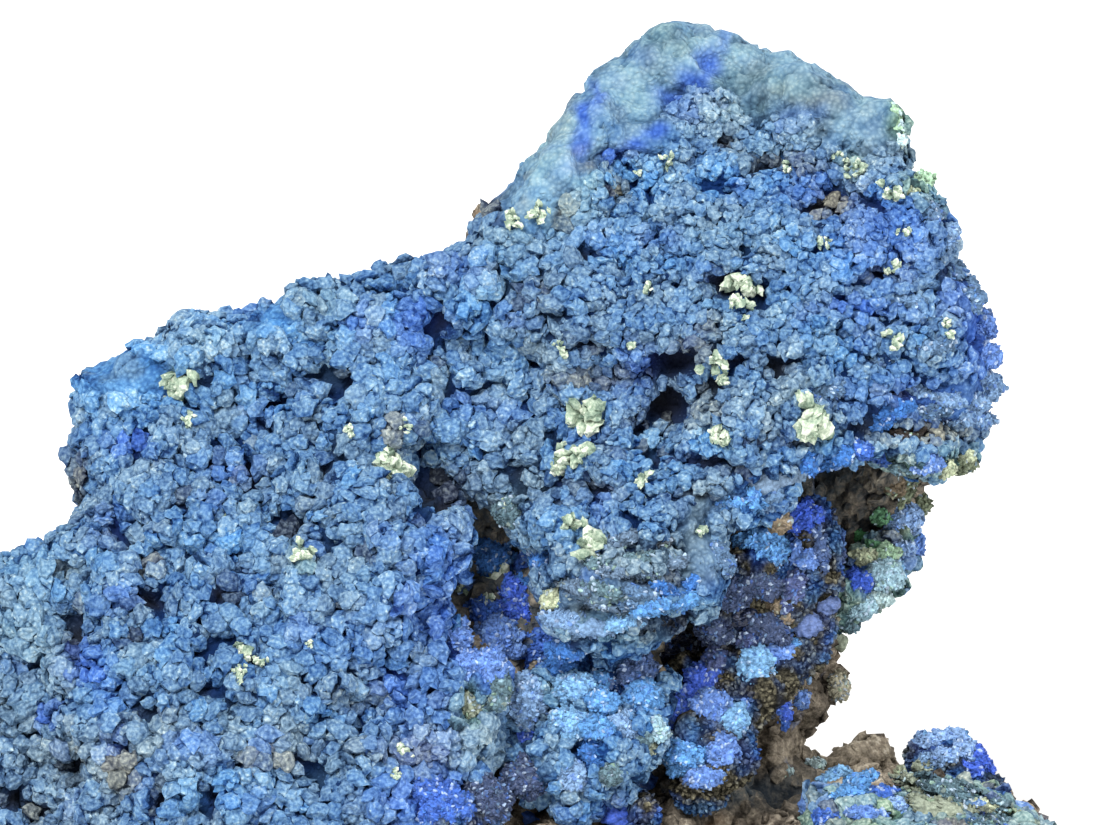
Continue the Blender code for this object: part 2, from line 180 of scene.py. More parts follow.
# Where the crust changes. Each patch is a place in the view, its half width and half height in pixels,
# and how strong it is. "smooth" has no crumbs on it and "pit" is a hollow, sunk in, browned and darkened with painted
# shade.
patches = {
    "deep": [
        (580, 140, 8, 12, 0.8), (586, 116, 8, 15, 1.0), (595, 94, 6, 12, 0.7), (708, 60, 11, 15, 1.0),
        (694, 80, 14, 10, 0.9), (722, 42, 8, 8, 0.7), (672, 92, 14, 7, 0.8), (618, 157, 11, 6, 1.0),
        (638, 145, 11, 7, 0.9), (658, 130, 10, 7, 0.9), (890, 235, 50, 40, 0.55), (820, 190, 36, 22, 0.45),
        (986, 325, 20, 62, 0.9), (965, 290, 22, 26, 0.6), (856, 306, 26, 9, 0.9), (930, 400, 60, 16, 0.6),
        (826, 474, 14, 10, 0.7), (412, 326, 18, 22, 0.6), (446, 610, 40, 30, 0.7), (440, 560, 24, 30, 0.5),
        (430, 800, 46, 24, 0.8), (490, 650, 34, 40, 0.75), (520, 620, 18, 24, 1.0), (420, 700, 40, 40, 0.3),
        (84, 663, 17, 16, 0.8), (48, 714, 10, 9, 0.8), (130, 443, 16, 7, 0.9), (540, 650, 22, 16, 0.6),
        (620, 380, 26, 18, 0.3), (455, 270, 25, 12, 0.4), (240, 300, 20, 12, 0.4), (360, 320, 14, 16, 0.4),
        (380, 640, 40, 30, 0.2), (235, 470, 24, 12, 0.4), (110, 745, 10, 16, 0.5),
    ],
    "sky": [
        (130, 375, 60, 30, 1.0), (270, 330, 60, 14, 0.6), (560, 175, 40, 26, 0.7), (640, 178, 50, 14, 0.7),
        (395, 330, 10, 30, 0.8), (480, 300, 18, 20, 0.6), (690, 440, 40, 14, 0.7), (40, 570, 30, 18, 0.7),
        (650, 605, 30, 10, 0.8), (740, 180, 40, 14, 0.6), (610, 250, 50, 16, 0.4), (500, 340, 20, 30, 0.4),
        (300, 720, 40, 14, 0.4), (200, 540, 50, 14, 0.3), (120, 690, 30, 24, 0.4), (220, 790, 40, 20, 0.5),
        (660, 460, 30, 20, 0.5), (560, 530, 16, 14, 0.5), (560, 700, 60, 50, 0.5), (840, 250, 40, 14, 0.4),
    ],
    "pale": [
        (690, 70, 120, 44, 1.0), (555, 155, 44, 66, 1.0), (850, 115, 66, 30, 0.9), (120, 385, 50, 22, 0.2),
        (190, 345, 30, 18, 0.3), (315, 298, 30, 16, 0.5), (590, 630, 50, 14, 0.9), (680, 608, 34, 12, 0.5),
        (20, 650, 36, 60, 0.55), (700, 230, 60, 20, 0.35), (500, 250, 30, 30, 0.3), (30, 570, 40, 16, 0.5),
        (955, 250, 24, 20, 0.5), (930, 400, 60, 12, 0.4), (520, 700, 24, 24, 0.6),
    ],
    "grey": [
        (800, 108, 50, 24, 0.6), (735, 85, 40, 22, 0.5), (870, 130, 30, 20, 0.5), (660, 60, 20, 26, 0.4),
        (16, 690, 46, 70, 0.25), (50, 770, 60, 50, 0.6), (640, 560, 50, 22, 0.9), (600, 600, 46, 16, 0.9),
        (700, 530, 12, 40, 0.9), (560, 345, 60, 20, 0.4), (760, 395, 60, 20, 0.35), (500, 490, 34, 24, 0.7),
        (450, 740, 60, 16, 0.7), (960, 290, 22, 34, 0.6), (890, 150, 36, 24, 0.6), (720, 110, 40, 24, 0.5),
        (520, 460, 30, 40, 0.4), (150, 740, 50, 30, 0.4), (280, 740, 50, 20, 0.4), (320, 560, 60, 30, 0.25),
    ],
    "brown": [
        (122, 770, 14, 20, 0.8), (270, 760, 30, 8, 0.6), (421, 756, 34, 10, 0.4), (151, 716, 20, 8, 0.4),
        (828, 205, 18, 8, 0.9), (822, 98, 22, 8, 0.45), (585, 378, 36, 8, 0.6), (78, 480, 6, 26, 0.7),
        (563, 216, 8, 8, 0.9), (616, 192, 7, 8, 0.9), (775, 86, 12, 7, 0.4), (727, 140, 8, 7, 0.9),
        # the one at 925, 432 lies in the shade under the brow's plates: painted shade
        (800, 165, 14, 8, 0.4), (395, 430, 8, 18, 0.6), (925, 432, 36, 8, 0.9), (35, 812, 10, 10, 0.6),
        (150, 567, 9, 5, 0.9), (222, 592, 8, 8, 0.7), (540, 292, 8, 12, 0.6), (690, 350, 16, 10, 0.5),
        (700, 410, 20, 10, 0.4), (712, 330, 12, 10, 0.5), (355, 700, 30, 10, 0.3), (590, 165, 12, 8, 0.6),
        (480, 205, 14, 12, 0.8), (560, 100, 10, 26, 0.3), (645, 700, 12, 8, 0.5), (905, 480, 16, 20, 0.8),
    ],
    "green": [
        (470, 706, 12, 22, 0.9), (903, 115, 11, 20, 1.0), (920, 186, 18, 10, 0.8), (850, 168, 12, 10, 0.6),
        (180, 386, 7, 14, 0.9), (905, 468, 24, 8, 0.7), (962, 464, 17, 14, 0.9), (932, 205, 12, 16, 0.5),
        (655, 28, 22, 10, 0.3), (770, 90, 50, 20, 0.25), (705, 45, 34, 12, 0.25), (560, 690, 20, 20, 0.25),
        (300, 558, 8, 9, 0.7),
    ],
    # tan: ochre dust on the rock; the large patch on the ridge also lightens its lit top, painted light
    "tan": [
        (865, 762, 46, 24, 1.0), (800, 715, 26, 44, 0.5), (780, 745, 26, 18, 0.5), (905, 482, 14, 16, 0.7),
        (760, 812, 60, 8, 0.3), (880, 548, 14, 8, 0.5), (824, 760, 20, 16, 0.5),
    ],
    # the rock's colours as they look in shade, in the cave, the cleft and the gaps by the nodules: painted shade
    "dark": [
        (842, 478, 54, 30, 0.9), (850, 520, 30, 16, 0.7), (485, 540, 40, 70, 1.0), (455, 560, 30, 60, 1.0),
        (660, 650, 40, 40, 0.8), (740, 790, 50, 14, 0.9), (670, 700, 20, 70, 0.9), (790, 785, 26, 16, 0.6),
        (520, 620, 30, 40, 0.9),
    ],
    "rockShows": [
        (795, 700, 30, 60, 1.0), (740, 785, 50, 14, 1.0), (672, 660, 16, 60, 0.9), (778, 612, 22, 14, 0.7),
        (740, 530, 14, 14, 0.7), (736, 610, 20, 8, 0.7), (745, 575, 12, 8, 0.6), (693, 640, 14, 30, 0.8),
        (825, 575, 10, 24, 0.8), (750, 735, 30, 8, 0.5), (700, 600, 12, 20, 0.6),
    ],
    "smooth": [
        (528, 195, 36, 34, 1.0), (560, 130, 46, 50, 1.0), (620, 80, 50, 46, 1.0), (700, 50, 60, 30, 1.0),
        (790, 80, 60, 30, 1.0), (860, 115, 44, 34, 1.0), (640, 135, 36, 18, 0.9), (700, 540, 14, 44, 1.0),
        (960, 400, 46, 18, 0.7), (985, 320, 18, 60, 0.6), (610, 600, 70, 30, 0.8), (520, 620, 20, 24, 0.9),
        (130, 372, 56, 26, 0.72), (265, 318, 36, 12, 0.6),
    ],
    "pit": [
        (666, 410, 16, 16, 1.0), (640, 425, 8, 8, 0.7), (719, 284, 12, 11, 0.9), (670, 368, 20, 10, 0.8),
        (587, 345, 15, 6, 0.8), (587, 253, 11, 6, 0.8), (766, 163, 18, 6, 0.8), (727, 139, 8, 6, 0.7),
        (72, 766, 11, 11, 1.0), (74, 632, 8, 16, 0.9), (65, 568, 8, 8, 0.8), (150, 598, 12, 7, 0.9),
        (222, 590, 12, 9, 0.9), (249, 469, 5, 13, 0.9), (320, 472, 5, 12, 0.8), (293, 533, 7, 9, 0.8),
        (218, 462, 7, 5, 0.7), (550, 706, 7, 6, 1.0), (9, 802, 8, 9, 0.9), (160, 800, 5, 16, 0.9),
        (210, 800, 6, 14, 0.9), (310, 496, 9, 6, 0.7), (435, 690, 8, 6, 0.5), (777, 366, 9, 9, 0.8),
        (707, 394, 10, 6, 0.7), (737, 360, 8, 6, 0.7), (880, 275, 14, 5, 0.7), (520, 300, 7, 6, 0.7),
        (430, 360, 10, 6, 0.6), (560, 470, 6, 10, 0.6), (135, 640, 16, 5, 0.7), (440, 325, 7, 9, 0.6),
        (905, 395, 26, 4, 0.7), (870, 430, 30, 5, 0.6), (655, 580, 26, 4, 0.8), (600, 612, 30, 3, 0.8),
        (120, 540, 9, 5, 0.5), (345, 380, 6, 8, 0.6), (270, 400, 8, 5, 0.6), (185, 500, 6, 7, 0.5),
        (370, 560, 8, 5, 0.6), (645, 452, 26, 4, 0.8), (700, 462, 26, 5, 0.8), (742, 470, 16, 4, 0.7),
        (690, 496, 24, 4, 0.7), (600, 485, 18, 4, 0.7), (760, 440, 20, 4, 0.6), (800, 440, 18, 4, 0.5),
        (560, 500, 10, 6, 0.7), (440, 480, 20, 8, 0.9), (455, 495, 16, 8, 0.9), (664, 626, 30, 6, 1.0),
        (560, 645, 20, 5, 0.7), (330, 610, 7, 6, 0.6), (400, 520, 9, 5, 0.6), (205, 690, 8, 6, 0.6),
    ],
}
patchEdge = {
    "wander": 9,  # how far a patch's edge wanders, in pixels
    "size": 1.5 * mm,  # and over what length
    "steepness": 1.4,
    "turn": (0.55, 0.4),  # how far round the side the patches reach, and how softly they end there
    "smoothTurn": (0.95, 0.3),  # the smooth crown goes on over its edge
}
colourKinds = ("sky", "pale", "grey", "deep", "brown", "green")
rockKinds = ("tan", "dark", "specks")


def wobble(points, size, seed):
    # smooth noise from -1 to 1 at each point
    shift = Vector((seed * 4.1, seed * 9.7, seed * 2.3))
    return np.array([noise.noise(Vector(p) / size + shift) for p in points])


def masksOf(points, normals):
    # how strong each kind of patch is at each point; patches lie on the side that faces the camera
    x, y = pixelsOf(points)
    x = x + patchEdge["wander"] * wobble(points, patchEdge["size"], 11)
    y = y + patchEdge["wander"] * wobble(points, patchEdge["size"], 12)
    facing = normals @ np.array(viewAway)
    masks = {}
    for kind, spots in patches.items():
        mask = np.zeros(len(points))
        for atX, atY, halfWidth, halfHeight, strength in spots:
            away = ((x - atX) / halfWidth) ** 2 + ((y - atY) / halfHeight) ** 2
            mask = np.maximum(mask, strength * np.exp(-0.5 * away ** patchEdge["steepness"]))
        end, fade = patchEdge["smoothTurn" if kind == "smooth" else "turn"]
        masks[kind] = mask * np.clip((end - facing) / fade, 0, 1)
    return masks


# skins: a fine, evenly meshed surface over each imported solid


def coordinatesOf(mesh):
    values = np.empty(len(mesh.vertices) * 3)
    mesh.vertices.foreach_get("co", values)
    return values.reshape(-1, 3)


def normalsOf(mesh):
    values = np.empty(len(mesh.vertices) * 3, np.float32)
    mesh.vertex_normals.foreach_get("vector", values)
    return values.reshape(-1, 3).astype(float)


def setAttribute(mesh, name, values):
    attribute = mesh.attributes.new(name, "FLOAT", "POINT")
    attribute.data.foreach_set("value", np.asarray(values, np.float32))


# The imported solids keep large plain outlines. Here the skins are drawn in or out to the stone's own outline:
# a place in the view, how far round it the pull reaches, and the shift across and down, all in pixels.
pulls = [
    (1002, 425, 26, 30, -17, 0), (850, 488, 42, 16, 0, -23), (915, 490, 22, 12, 0, -8),
    (912, 585, 16, 20, -10, 0), (922, 500, 12, 24, -7, 0), (462, 230, 14, 12, 6, 7),
    (880, 620, 30, 20, -4, -6), (818, 745, 22, 14, -2, 12), (982, 452, 12, 16, -12, 0),
    (140, 338, 34, 12, 0, 5), (266, 293, 26, 10, 0, 5), (335, 274, 18, 10, 0, -5),
    (766, 50, 24, 10, 0, 8), (965, 482, 30, 12, 0, -8), (942, 515, 28, 46, -19, 0),
    (905, 612, 44, 26, -8, -18), (836, 675, 18, 26, 9, 0), (810, 742, 16, 18, -13, 0),
    (880, 748, 26, 12, 0, -14), (960, 728, 26, 12, -3, 1), (992, 755, 12, 16, -6, 0),
    (1006, 798, 22, 16, 5, -9), (1036, 802, 16, 10, -3, 3), (900, 749, 9, 8, 0, -6),
    (872, 738, 22, 12, 9, 3), (890, 750, 12, 10, 0, -9),
    (655, 18, 14, 10, 8, 8), (695, 28, 16, 8, 0, -5), (82, 380, 22, 16, -12, -8), (70, 408, 10, 18, 11, 0),
    (68, 442, 8, 10, -5, 0), (36, 536, 36, 16, 0, -9), (594, 76, 20, 18, -12, -8), (670, 22, 24, 12, 0, -6),
    (803, 60, 20, 14, 4, -8), (896, 104, 16, 14, 6, -5), (906, 126, 10, 16, 6, 0),
    (482, 208, 16, 16, -12, -11), (520, 172, 14, 14, -5, -5), (390, 262, 22, 10, 0, -9),
    (215, 312, 16, 8, 0, -5), (455, 236, 12, 12, 5, 3), (290, 286, 22, 10, 0, 6), (558, 116, 8, 12, 5, 2),
    (964, 266, 10, 22, -12, 0), (942, 194, 10, 18, -7, 0), (990, 320, 10, 24, 2, 0), (966, 228, 8, 10, 5, 0),
    (445, 545, 24, 50, 14, 0),
]
flatFoot = 0.5 * mm  # what lies below this stays on the floor


def pulled(points):
    x, y = pixelsOf(points)
    moved = points.copy()
    for atX, atY, halfWidth, halfHeight, across, down in pulls:
        share = np.exp(-0.5 * (((x - atX) / halfWidth) ** 2 + ((y - atY) / halfHeight) ** 2)) * pixel
        moved += share[:, None] * (across * np.array(viewAcross) - down * np.array(viewUp))
    moved[:, 2] = np.where(points[:, 2] < flatFoot, points[:, 2], np.maximum(moved[:, 2], flatFoot))
    return moved


def skinOver(name, node, voxel, rounds):
    bm = bmesh.new()
    bm.from_mesh(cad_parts[node].data)
    bmesh.ops.remove_doubles(bm, verts=bm.verts, dist=1e-6)
    mesh = bpy.data.meshes.new(name)
    bm.to_mesh(mesh)
    bm.free()
    rough = linked(bpy.data.objects.new(name + " rough", mesh))
    remesh = rough.modifiers.new("even skin", "REMESH")
    remesh.mode = "VOXEL"
    remesh.voxel_size = voxel
    bpy.context.view_layer.update()
    even = bpy.data.meshes.new_from_object(rough.evaluated_get(bpy.context.evaluated_depsgraph_get()))
    bpy.data.objects.remove(rough)
    bm = bmesh.new()
    bm.from_mesh(even)
    for _ in range(rounds):
        bmesh.ops.smooth_vert(bm, verts=bm.verts, factor=0.5, use_axis_x=True, use_axis_y=True, use_axis_z=True)
    bm.to_mesh(even)
    bm.free()
    even.vertices.foreach_set("co", pulled(coordinatesOf(even)).ravel())
    even.update()
    even.name = name
    return linked(bpy.data.objects.new(name, even))


reliefForm = {
    "lumpRadius": 0.85,  # in shares of the layer's size
    "lumpMiddle": 0.72,  # the part of a lump's height that is taken off again, so that gaps sink in
    "blockTurns": (91.7, 47.3, 73.1),  # give each block a height of its own
    "blockEdge": 0.15,
    "pitSlope": 4,
    "ends": [4, 96],  # the percentiles that count as a gap and as a lump's top
}


def reliefLift(points, layer):
    # lift of one layer of relief, in metres: rounded lumps, blocks at different heights, cracks, pits or swells
    size, height, seed = layer["size"], layer["height"], layer["seed"]
    if layer["form"] in ("lumps", "blocks", "cracks"):
        shift = Vector((seed * 7.3, seed * 3.1, seed * 5.7))
        found = [noise.voronoi(Vector(p) / size + shift) for p in points]
        near = np.array([f[0][:2] for f in found])
        if layer["form"] == "lumps":
            domes = np.sqrt(np.clip(1 - (near[:, 0] / reliefForm["lumpRadius"]) ** 2, 0, 1))
            return height * (domes - reliefForm["lumpMiddle"])
        edge = near[:, 1] - near[:, 0]
        if layer["form"] == "blocks":
            turns = reliefForm["blockTurns"]
            heights = np.array([math.sin(sum(turn * part for turn, part in zip(turns, f[1][0]))) for f in found])
            return height * 0.5 * heights * np.clip(edge / reliefForm["blockEdge"], 0, 1)
        width = layer["width"] * np.clip(0.7 + 1.3 * wobble(points, size * 1.4, seed + 3), 0, 1.6)
        return -height * np.clip(1 - edge / np.maximum(width, 1e-3), 0, 1)
    waves = wobble(points, size, seed) + 0.5 * wobble(points, size / 2.1, seed + 1)
    if layer["form"] == "pits":
        return -height * np.clip((waves - layer["level"]) * reliefForm["pitSlope"], 0, 1)
    return height * waves


def addRelief(skin, settings, calm, pits):
    # moves the skin along its normals and keeps how high each point stands, from 0 in a gap to 1 on a lump
    points, normals = coordinatesOf(skin.data), normalsOf(skin.data)
    total = np.zeros(len(points))
    for layer in settings["layers"]:
        total += reliefLift(points, layer) * (1 - calm)
    total -= settings["pitDepth"] * pits
    low, high = np.percentile(total, reliefForm["ends"])
    points += normals * total[:, None]
    points[:, 2] = np.maximum(points[:, 2], floorGap)
    skin.data.vertices.foreach_set("co", points.ravel())
    skin.data.update()
    return np.clip((total - low) / max(high - low, 1e-9), 0, 1)


# crumbs and crystals: small bodies grown on a skin, joined into one mesh


crumbFoot = {"below": -0.5, "point": (0, 0, -0.8)}  # merged to one point, where it grows out of the skin


def crumbShapes(count, form):
    # a few different lumpy crumbs with a radius of about 1, as points and triangles
    shapes = []
    for k in range(count):
        bm = bmesh.new()
        bmesh.ops.create_icosphere(bm, subdivisions=form["subdivisions"], radius=1)
        if form["subdivisions"] > 1:  # the coarse ones need fewer faces underneath
            under = [vert for vert in bm.verts if vert.co.z < crumbFoot["below"]]
            bmesh.ops.pointmerge(bm, verts=under, merge_co=crumbFoot["point"])
        shift = Vector((k * 5.3, k * 2.9, form["seed"]))
        for vert in bm.verts:
            near = noise.voronoi(vert.co * form["lobes"] + shift)[0][0]
            vert.co *= 1 + form["lumpiness"] * (0.5 - near)
        bmesh.ops.scale(bm, verts=bm.verts, vec=form["scale"])
        bmesh.ops.recalc_face_normals(bm, faces=bm.faces)
        bm.verts.ensure_lookup_table()
        corners = np.array([vert.co for vert in bm.verts])
        shapes.append((corners, np.array([[vert.index for vert in face.verts] for face in bm.faces])))
        bm.free()
    return shapes


neighbours = [(dx, dy, dz) for dx in (-1, 0, 1) for dy in (-1, 0, 1) for dz in (-1, 0, 1)]


def spreadOver(skin, allowed, settings):
    # random places on a skin, large crumbs first, each clear of the ones already there
    sizes, packing, tries = settings["sizes"], settings["packing"], settings["tries"]
    mesh = skin.data
    mesh.calc_loop_triangles()
    points, normals = coordinatesOf(mesh), normalsOf(mesh)
    triangles = np.empty(len(mesh.loop_triangles) * 3, np.int32)
    mesh.loop_triangles.foreach_get("vertices", triangles)
    triangles = triangles.reshape(-1, 3)
    a, b, c = (points[triangles[:, k]] for k in range(3))
    areas = np.linalg.norm(np.cross(b - a, c - a), axis=1) / 2 * allowed[triangles].min(axis=1)
    places, outward, corners, radii = [], [], [], []
    for size in sizes:
        count = int(areas.sum() / size**2 * tries)
        picked = rng.choice(len(triangles), size=count, p=areas / areas.sum())
        u, v = rng.random(count), rng.random(count)
        over = u + v > 1
        u[over], v[over] = 1 - u[over], 1 - v[over]
        shares = np.stack([1 - u - v, u, v], axis=1)[:, :, None]
        spots = (points[triangles[picked]] * shares).sum(axis=1)
        facing = (normals[triangles[picked]] * shares).sum(axis=1)
        facing /= np.linalg.norm(facing, axis=1)[:, None]
        tree = kdtree.KDTree(max(len(places), 1))
        for k, place in enumerate(places):
            tree.insert(place, k)
        tree.balance()
        cell, reach = 2 * size * packing, (size + sizes[0]) * packing
        grid, kept = {}, []
        for k, key in enumerate(map(tuple, np.floor(spots / cell).astype(int))):
            spot = spots[k]
            near = [grid.get((key[0] + dx, key[1] + dy, key[2] + dz)) for dx, dy, dz in neighbours]
            if any(np.dot(spot - other, spot - other) < cell**2 for others in near if others for other in others):
                continue
            if places and any(gap < (size + radii[n]) * packing for _, n, gap in tree.find_range(spot, reach)):
                continue
            grid.setdefault(key, []).append(spot)
            kept.append(k)
        for k in kept:
            places.append(spots[k])
            outward.append(facing[k])
            corners.append(triangles[picked[k], 0])
            radii.append(size)
    return np.array(places), np.array(outward), np.array(corners), np.array(radii)


def inTheOpen(places, outward, start, room, others):
    # leaves out what would grow inside or close against another piece
    free = np.ones(len(places), bool)
    for tree in others:
        for k in np.flatnonzero(free):
            free[k] = tree.ray_cast(Vector(places[k] + outward[k] * start), Vector(outward[k]), room)[0] is None
    return free


def joinedCrumbs(name, shapes, places, outward, sizes, sink, tilt):
    # one mesh with a crumb at every place, and how high each of its points stands in its own crumb
    count = len(places)
    lean = outward + rng.normal(0, tilt, (count, 3))
    lean /= np.linalg.norm(lean, axis=1)[:, None]
    side = np.cross(lean, rng.normal(0, 1, (count, 3)))
    side /= np.linalg.norm(side, axis=1)[:, None]
    turns = np.stack([side, np.cross(lean, side), lean], axis=2)
    centres = places - outward * (sizes * sink)[:, None]
    kinds = rng.integers(0, len(shapes), count)
    corners, faces, owners, rises, start = [], [], [], [], 0
    for kind, (form, sides) in enumerate(shapes):
        mine = np.flatnonzero(kinds == kind)
        turned = np.einsum("nij,vj->nvi", turns[mine], form) * sizes[mine][:, None, None]
        corners.append((turned + centres[mine][:, None]).reshape(-1, 3))
        faces.append((sides[None] + (start + np.arange(len(mine)) * len(form))[:, None, None]).reshape(-1, 3))
        owners.append(np.repeat(mine, len(form)))
        rises.append(np.tile(form[:, 2] / np.abs(form[:, 2]).max() * 0.5 + 0.5, len(mine)))
        start += len(mine) * len(form)
    corners, faces, owners, rises = (np.concatenate(part) for part in (corners, faces, owners, rises))
    mesh = bpy.data.meshes.new(name)
    mesh.vertices.add(len(corners))
    mesh.vertices.foreach_set("co", corners.ravel())
    mesh.loops.add(faces.size)
    mesh.loops.foreach_set("vertex_index", faces.ravel().astype(np.int32))
    mesh.polygons.add(len(faces))
    mesh.polygons.foreach_set("loop_start", np.arange(0, faces.size, 3, dtype=np.int32))
    mesh.polygons.foreach_set("use_smooth", np.zeros(len(faces), bool))
    mesh.update(calc_edges=True)
    mesh.validate()
    return linked(bpy.data.objects.new(name, mesh)), owners, rises


def finished(obj, material):
    obj.data.materials.clear()
    obj.data.materials.append(material)
    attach(obj, "root")


# materials

# Azurite druse: copper carbonate grown in small rounded crumbs, matt with dust. Each colour runs with the tone
# from dark navy in the gaps between the crumbs, painted shade, to a soft greyish blue on their tops, painted light;
# earthy, pale or green patches lie over it.
druseLook = {
    # each colour's stops run from a gap, painted shade, to a crumb's top, painted light
    "ordinary": [(0.0, "#0b234b"), (0.25, "#2b4e7d"), (0.5, "#4c6f97"), (0.75, "#688bab"), (1.0, "#9cb5c1")],
    "sky": [(0.0, "#12336a"), (0.25, "#2f6099"), (0.5, "#4b83b9"), (0.75, "#6f9fc6"), (1.0, "#adc8d5")],
    "deep": [(0.0, "#0f1d58"), (0.25, "#23438f"), (0.5, "#385cad"), (0.75, "#5278c0"), (1.0, "#8aa6d2")],
    "pale": [(0.0, "#3a5a72"), (0.25, "#5b7e94"), (0.5, "#7998a5"), (0.75, "#96afb5"), (1.0, "#c4d0cb")],
    "grey": [(0.0, "#1f2e3e"), (0.25, "#425768"), (0.5, "#62788a"), (0.75, "#8297a4"), (1.0, "#adbcbf")],
    "brown": [(0.0, "#1d1c18"), (0.25, "#423f35"), (0.5, "#676352"), (0.75, "#8c8872"), (1.0, "#b8b4a0")],
    "green": [(0.0, "#2e4038"), (0.25, "#4d6a5c"), (0.5, "#718d7b"), (0.75, "#96ad99"), (1.0, "#c3d2bd")],
    "roughness": 0.78,
    "specular": 0.06,
    "speckle": 0.22 * mm,
    "calmSpeckle": 0.5,  # what the speckle fades to on a smooth skin
    "buds": 0.3 * mm,
    "drift": 1.1 * mm,
    "sparkle": 0.14 * mm,  # small faces that shine out
    "sparkleRoughness": 0.22,
    "moves": {"shade": 0.2, "speckle": 1.05, "drift": 0.5, "buds": -0.45},  # how far each moves the tone
    "budBump": {"Strength": 0.9, "Distance": 0.2 * mm, "invert": True},
    "speckleBump": {"Strength": 0.5, "Distance": 0.06 * mm},
}


def movedTone(tree, tone, movers, moves):
    # moves a tone up and down with each pattern, round the middle of the pattern
    for kind, source in movers.items():
        gain = moves[kind]
        part = addNode(tree, "ShaderNodeMath", {"operation": "MULTIPLY_ADD", 1: gain, 2: -gain / 2}, {0: source})
        tone = addNode(tree, "ShaderNodeMath", {"operation": "ADD"}, {0: tone, 1: part.outputs[0]}).outputs[0]
    return tone


def mixedByPlace(tree, colour, kinds, look, tone):
    # lays each kind's own colours over the ordinary one, where its attribute says
    for kind in kinds:
        mask = addNode(tree, "ShaderNodeAttribute", {"attribute_name": kind})
        own = addNode(tree, "ShaderNodeValToRGB", links={"Fac": tone}, stops=look[kind])
        layers = {0: mask.outputs["Fac"], 6: colour, 7: own.outputs["Color"]}
        colour = addNode(tree, "ShaderNodeMix", {"data_type": "RGBA"}, layers).outputs[2]
    return colour


def druseMaterial(name, look, glitter):
    material, tree = newMaterial(name)
    place = {"Vector": addNode(tree, "ShaderNodeTexCoord").outputs["Object"]}
    rise, shade, calm = (
        addNode(tree, "ShaderNodeAttribute", {"attribute_name": kind}).outputs["Fac"]
        for kind in ("rise", "shade", "calm")
    )
    buds = addNode(
        tree, "ShaderNodeTexVoronoi", {"feature": "SMOOTH_F1", "Scale": 1 / look["buds"], "Smoothness": 0.35}, place
    ).outputs["Distance"]
    speckle = addNode(
        tree, "ShaderNodeTexNoise", {"Scale": 1 / look["speckle"], "Detail": 2.0, "Roughness": 0.6}, place
    ).outputs["Fac"]
    drift = addNode(tree, "ShaderNodeTexNoise", {"Scale": 1 / look["drift"], "Detail": 2.0}, place).outputs["Fac"]
    softer = addNode(
        tree, "ShaderNodeMix", {"data_type": "FLOAT", 3: look["calmSpeckle"]}, {2: speckle, 0: calm}
    ).outputs[0]
    # the tone follows the height, darker low down as painted shade and lighter high up as painted light, and is moved
    # by each crumb's own random shade, the speckle, a slow drift and the buds
    tone = movedTone(tree, rise, {"shade": shade, "speckle": softer, "drift": drift, "buds": buds}, look["moves"])
    ordinary = addNode(tree, "ShaderNodeValToRGB", links={"Fac": tone}, stops=look["ordinary"]).outputs["Color"]
    colour = mixedByPlace(tree, ordinary, colourKinds, look, tone)
    bump = addNode(tree, "ShaderNodeBump", look["budBump"], {"Height": buds})
    fine = addNode(tree, "ShaderNodeBump", look["speckleBump"], {"Height": speckle, "Normal": bump.outputs[0]})
    sparkle = addNode(tree, "ShaderNodeTexVoronoi", {"Scale": 1 / look["sparkle"]}, place)
    gloss = addNode(
        tree, "ShaderNodeMapRange",
        {"From Min": 1 - glitter, "From Max": 1.0, "To Min": look["roughness"], "To Max": look["sparkleRoughness"]},
        {"Value": sparkle.outputs["Color"]},
    )
    shader = addNode(
        tree, "ShaderNodeBsdfPrincipled", {"Specular IOR Level": look["specular"]},
        {"Base Color": colour, "Roughness": gloss.outputs[0], "Normal": fine.outputs[0]},
    )
    addNode(tree, "ShaderNodeOutputMaterial", links={"Surface": shader.outputs[0]})
    return material


# Limonite: earthy iron oxide, broken and weathered. Dull taupe brown, with ochre dust that on the ridge is partly
# painted light, and hollows that go nearly black with painted shade.
rockLook = {
    "colours": [(0.0, "#15120f"), (0.3, "#39342f"), (0.55, "#59524a"), (0.8, "#7f7568"), (1.0, "#b0a695")],
    # ochre dust, and on the ridge partly painted light
    "tan": [(0.0, "#2f2a23"), (0.3, "#665e51"), (0.55, "#8a8071"), (0.8, "#a99e8b"), (1.0, "#cbc2b0")],
    # the rock's colours in shade, bluish grey: painted shade
    "dark": [(0.0, "#343e48"), (0.3, "#485056"), (0.55, "#5a5e5e"), (0.8, "#726e65"), (1.0, "#8c8679")],
    "specks": [(0.0, "#14233f"), (0.3, "#274a7c"), (0.55, "#4169a0"), (0.8, "#6589b8"), (1.0, "#98b3cd")],
    "rust": "#6b5238",
    "rusty": {"From Min": 0.58, "From Max": 0.8},  # the blotches that turn to rust
    "roughness": 0.92,
    "specular": 0.08,
    "grit": 0.3 * mm,
    "chips": 0.75 * mm,
    "blotch": 2.6 * mm,
    "height": {"operation": "MULTIPLY_ADD", 1: 0.6, 2: 0.22},  # how the tone follows the height: darker low down, painted shade
    "moves": {"grit": 1.5, "blotch": 1.1, "chips": -0.5},
    "chipBump": {"Strength": 0.9, "Distance": 0.35 * mm},
    "gritBump": {"Strength": 0.9, "Distance": 0.22 * mm},
}


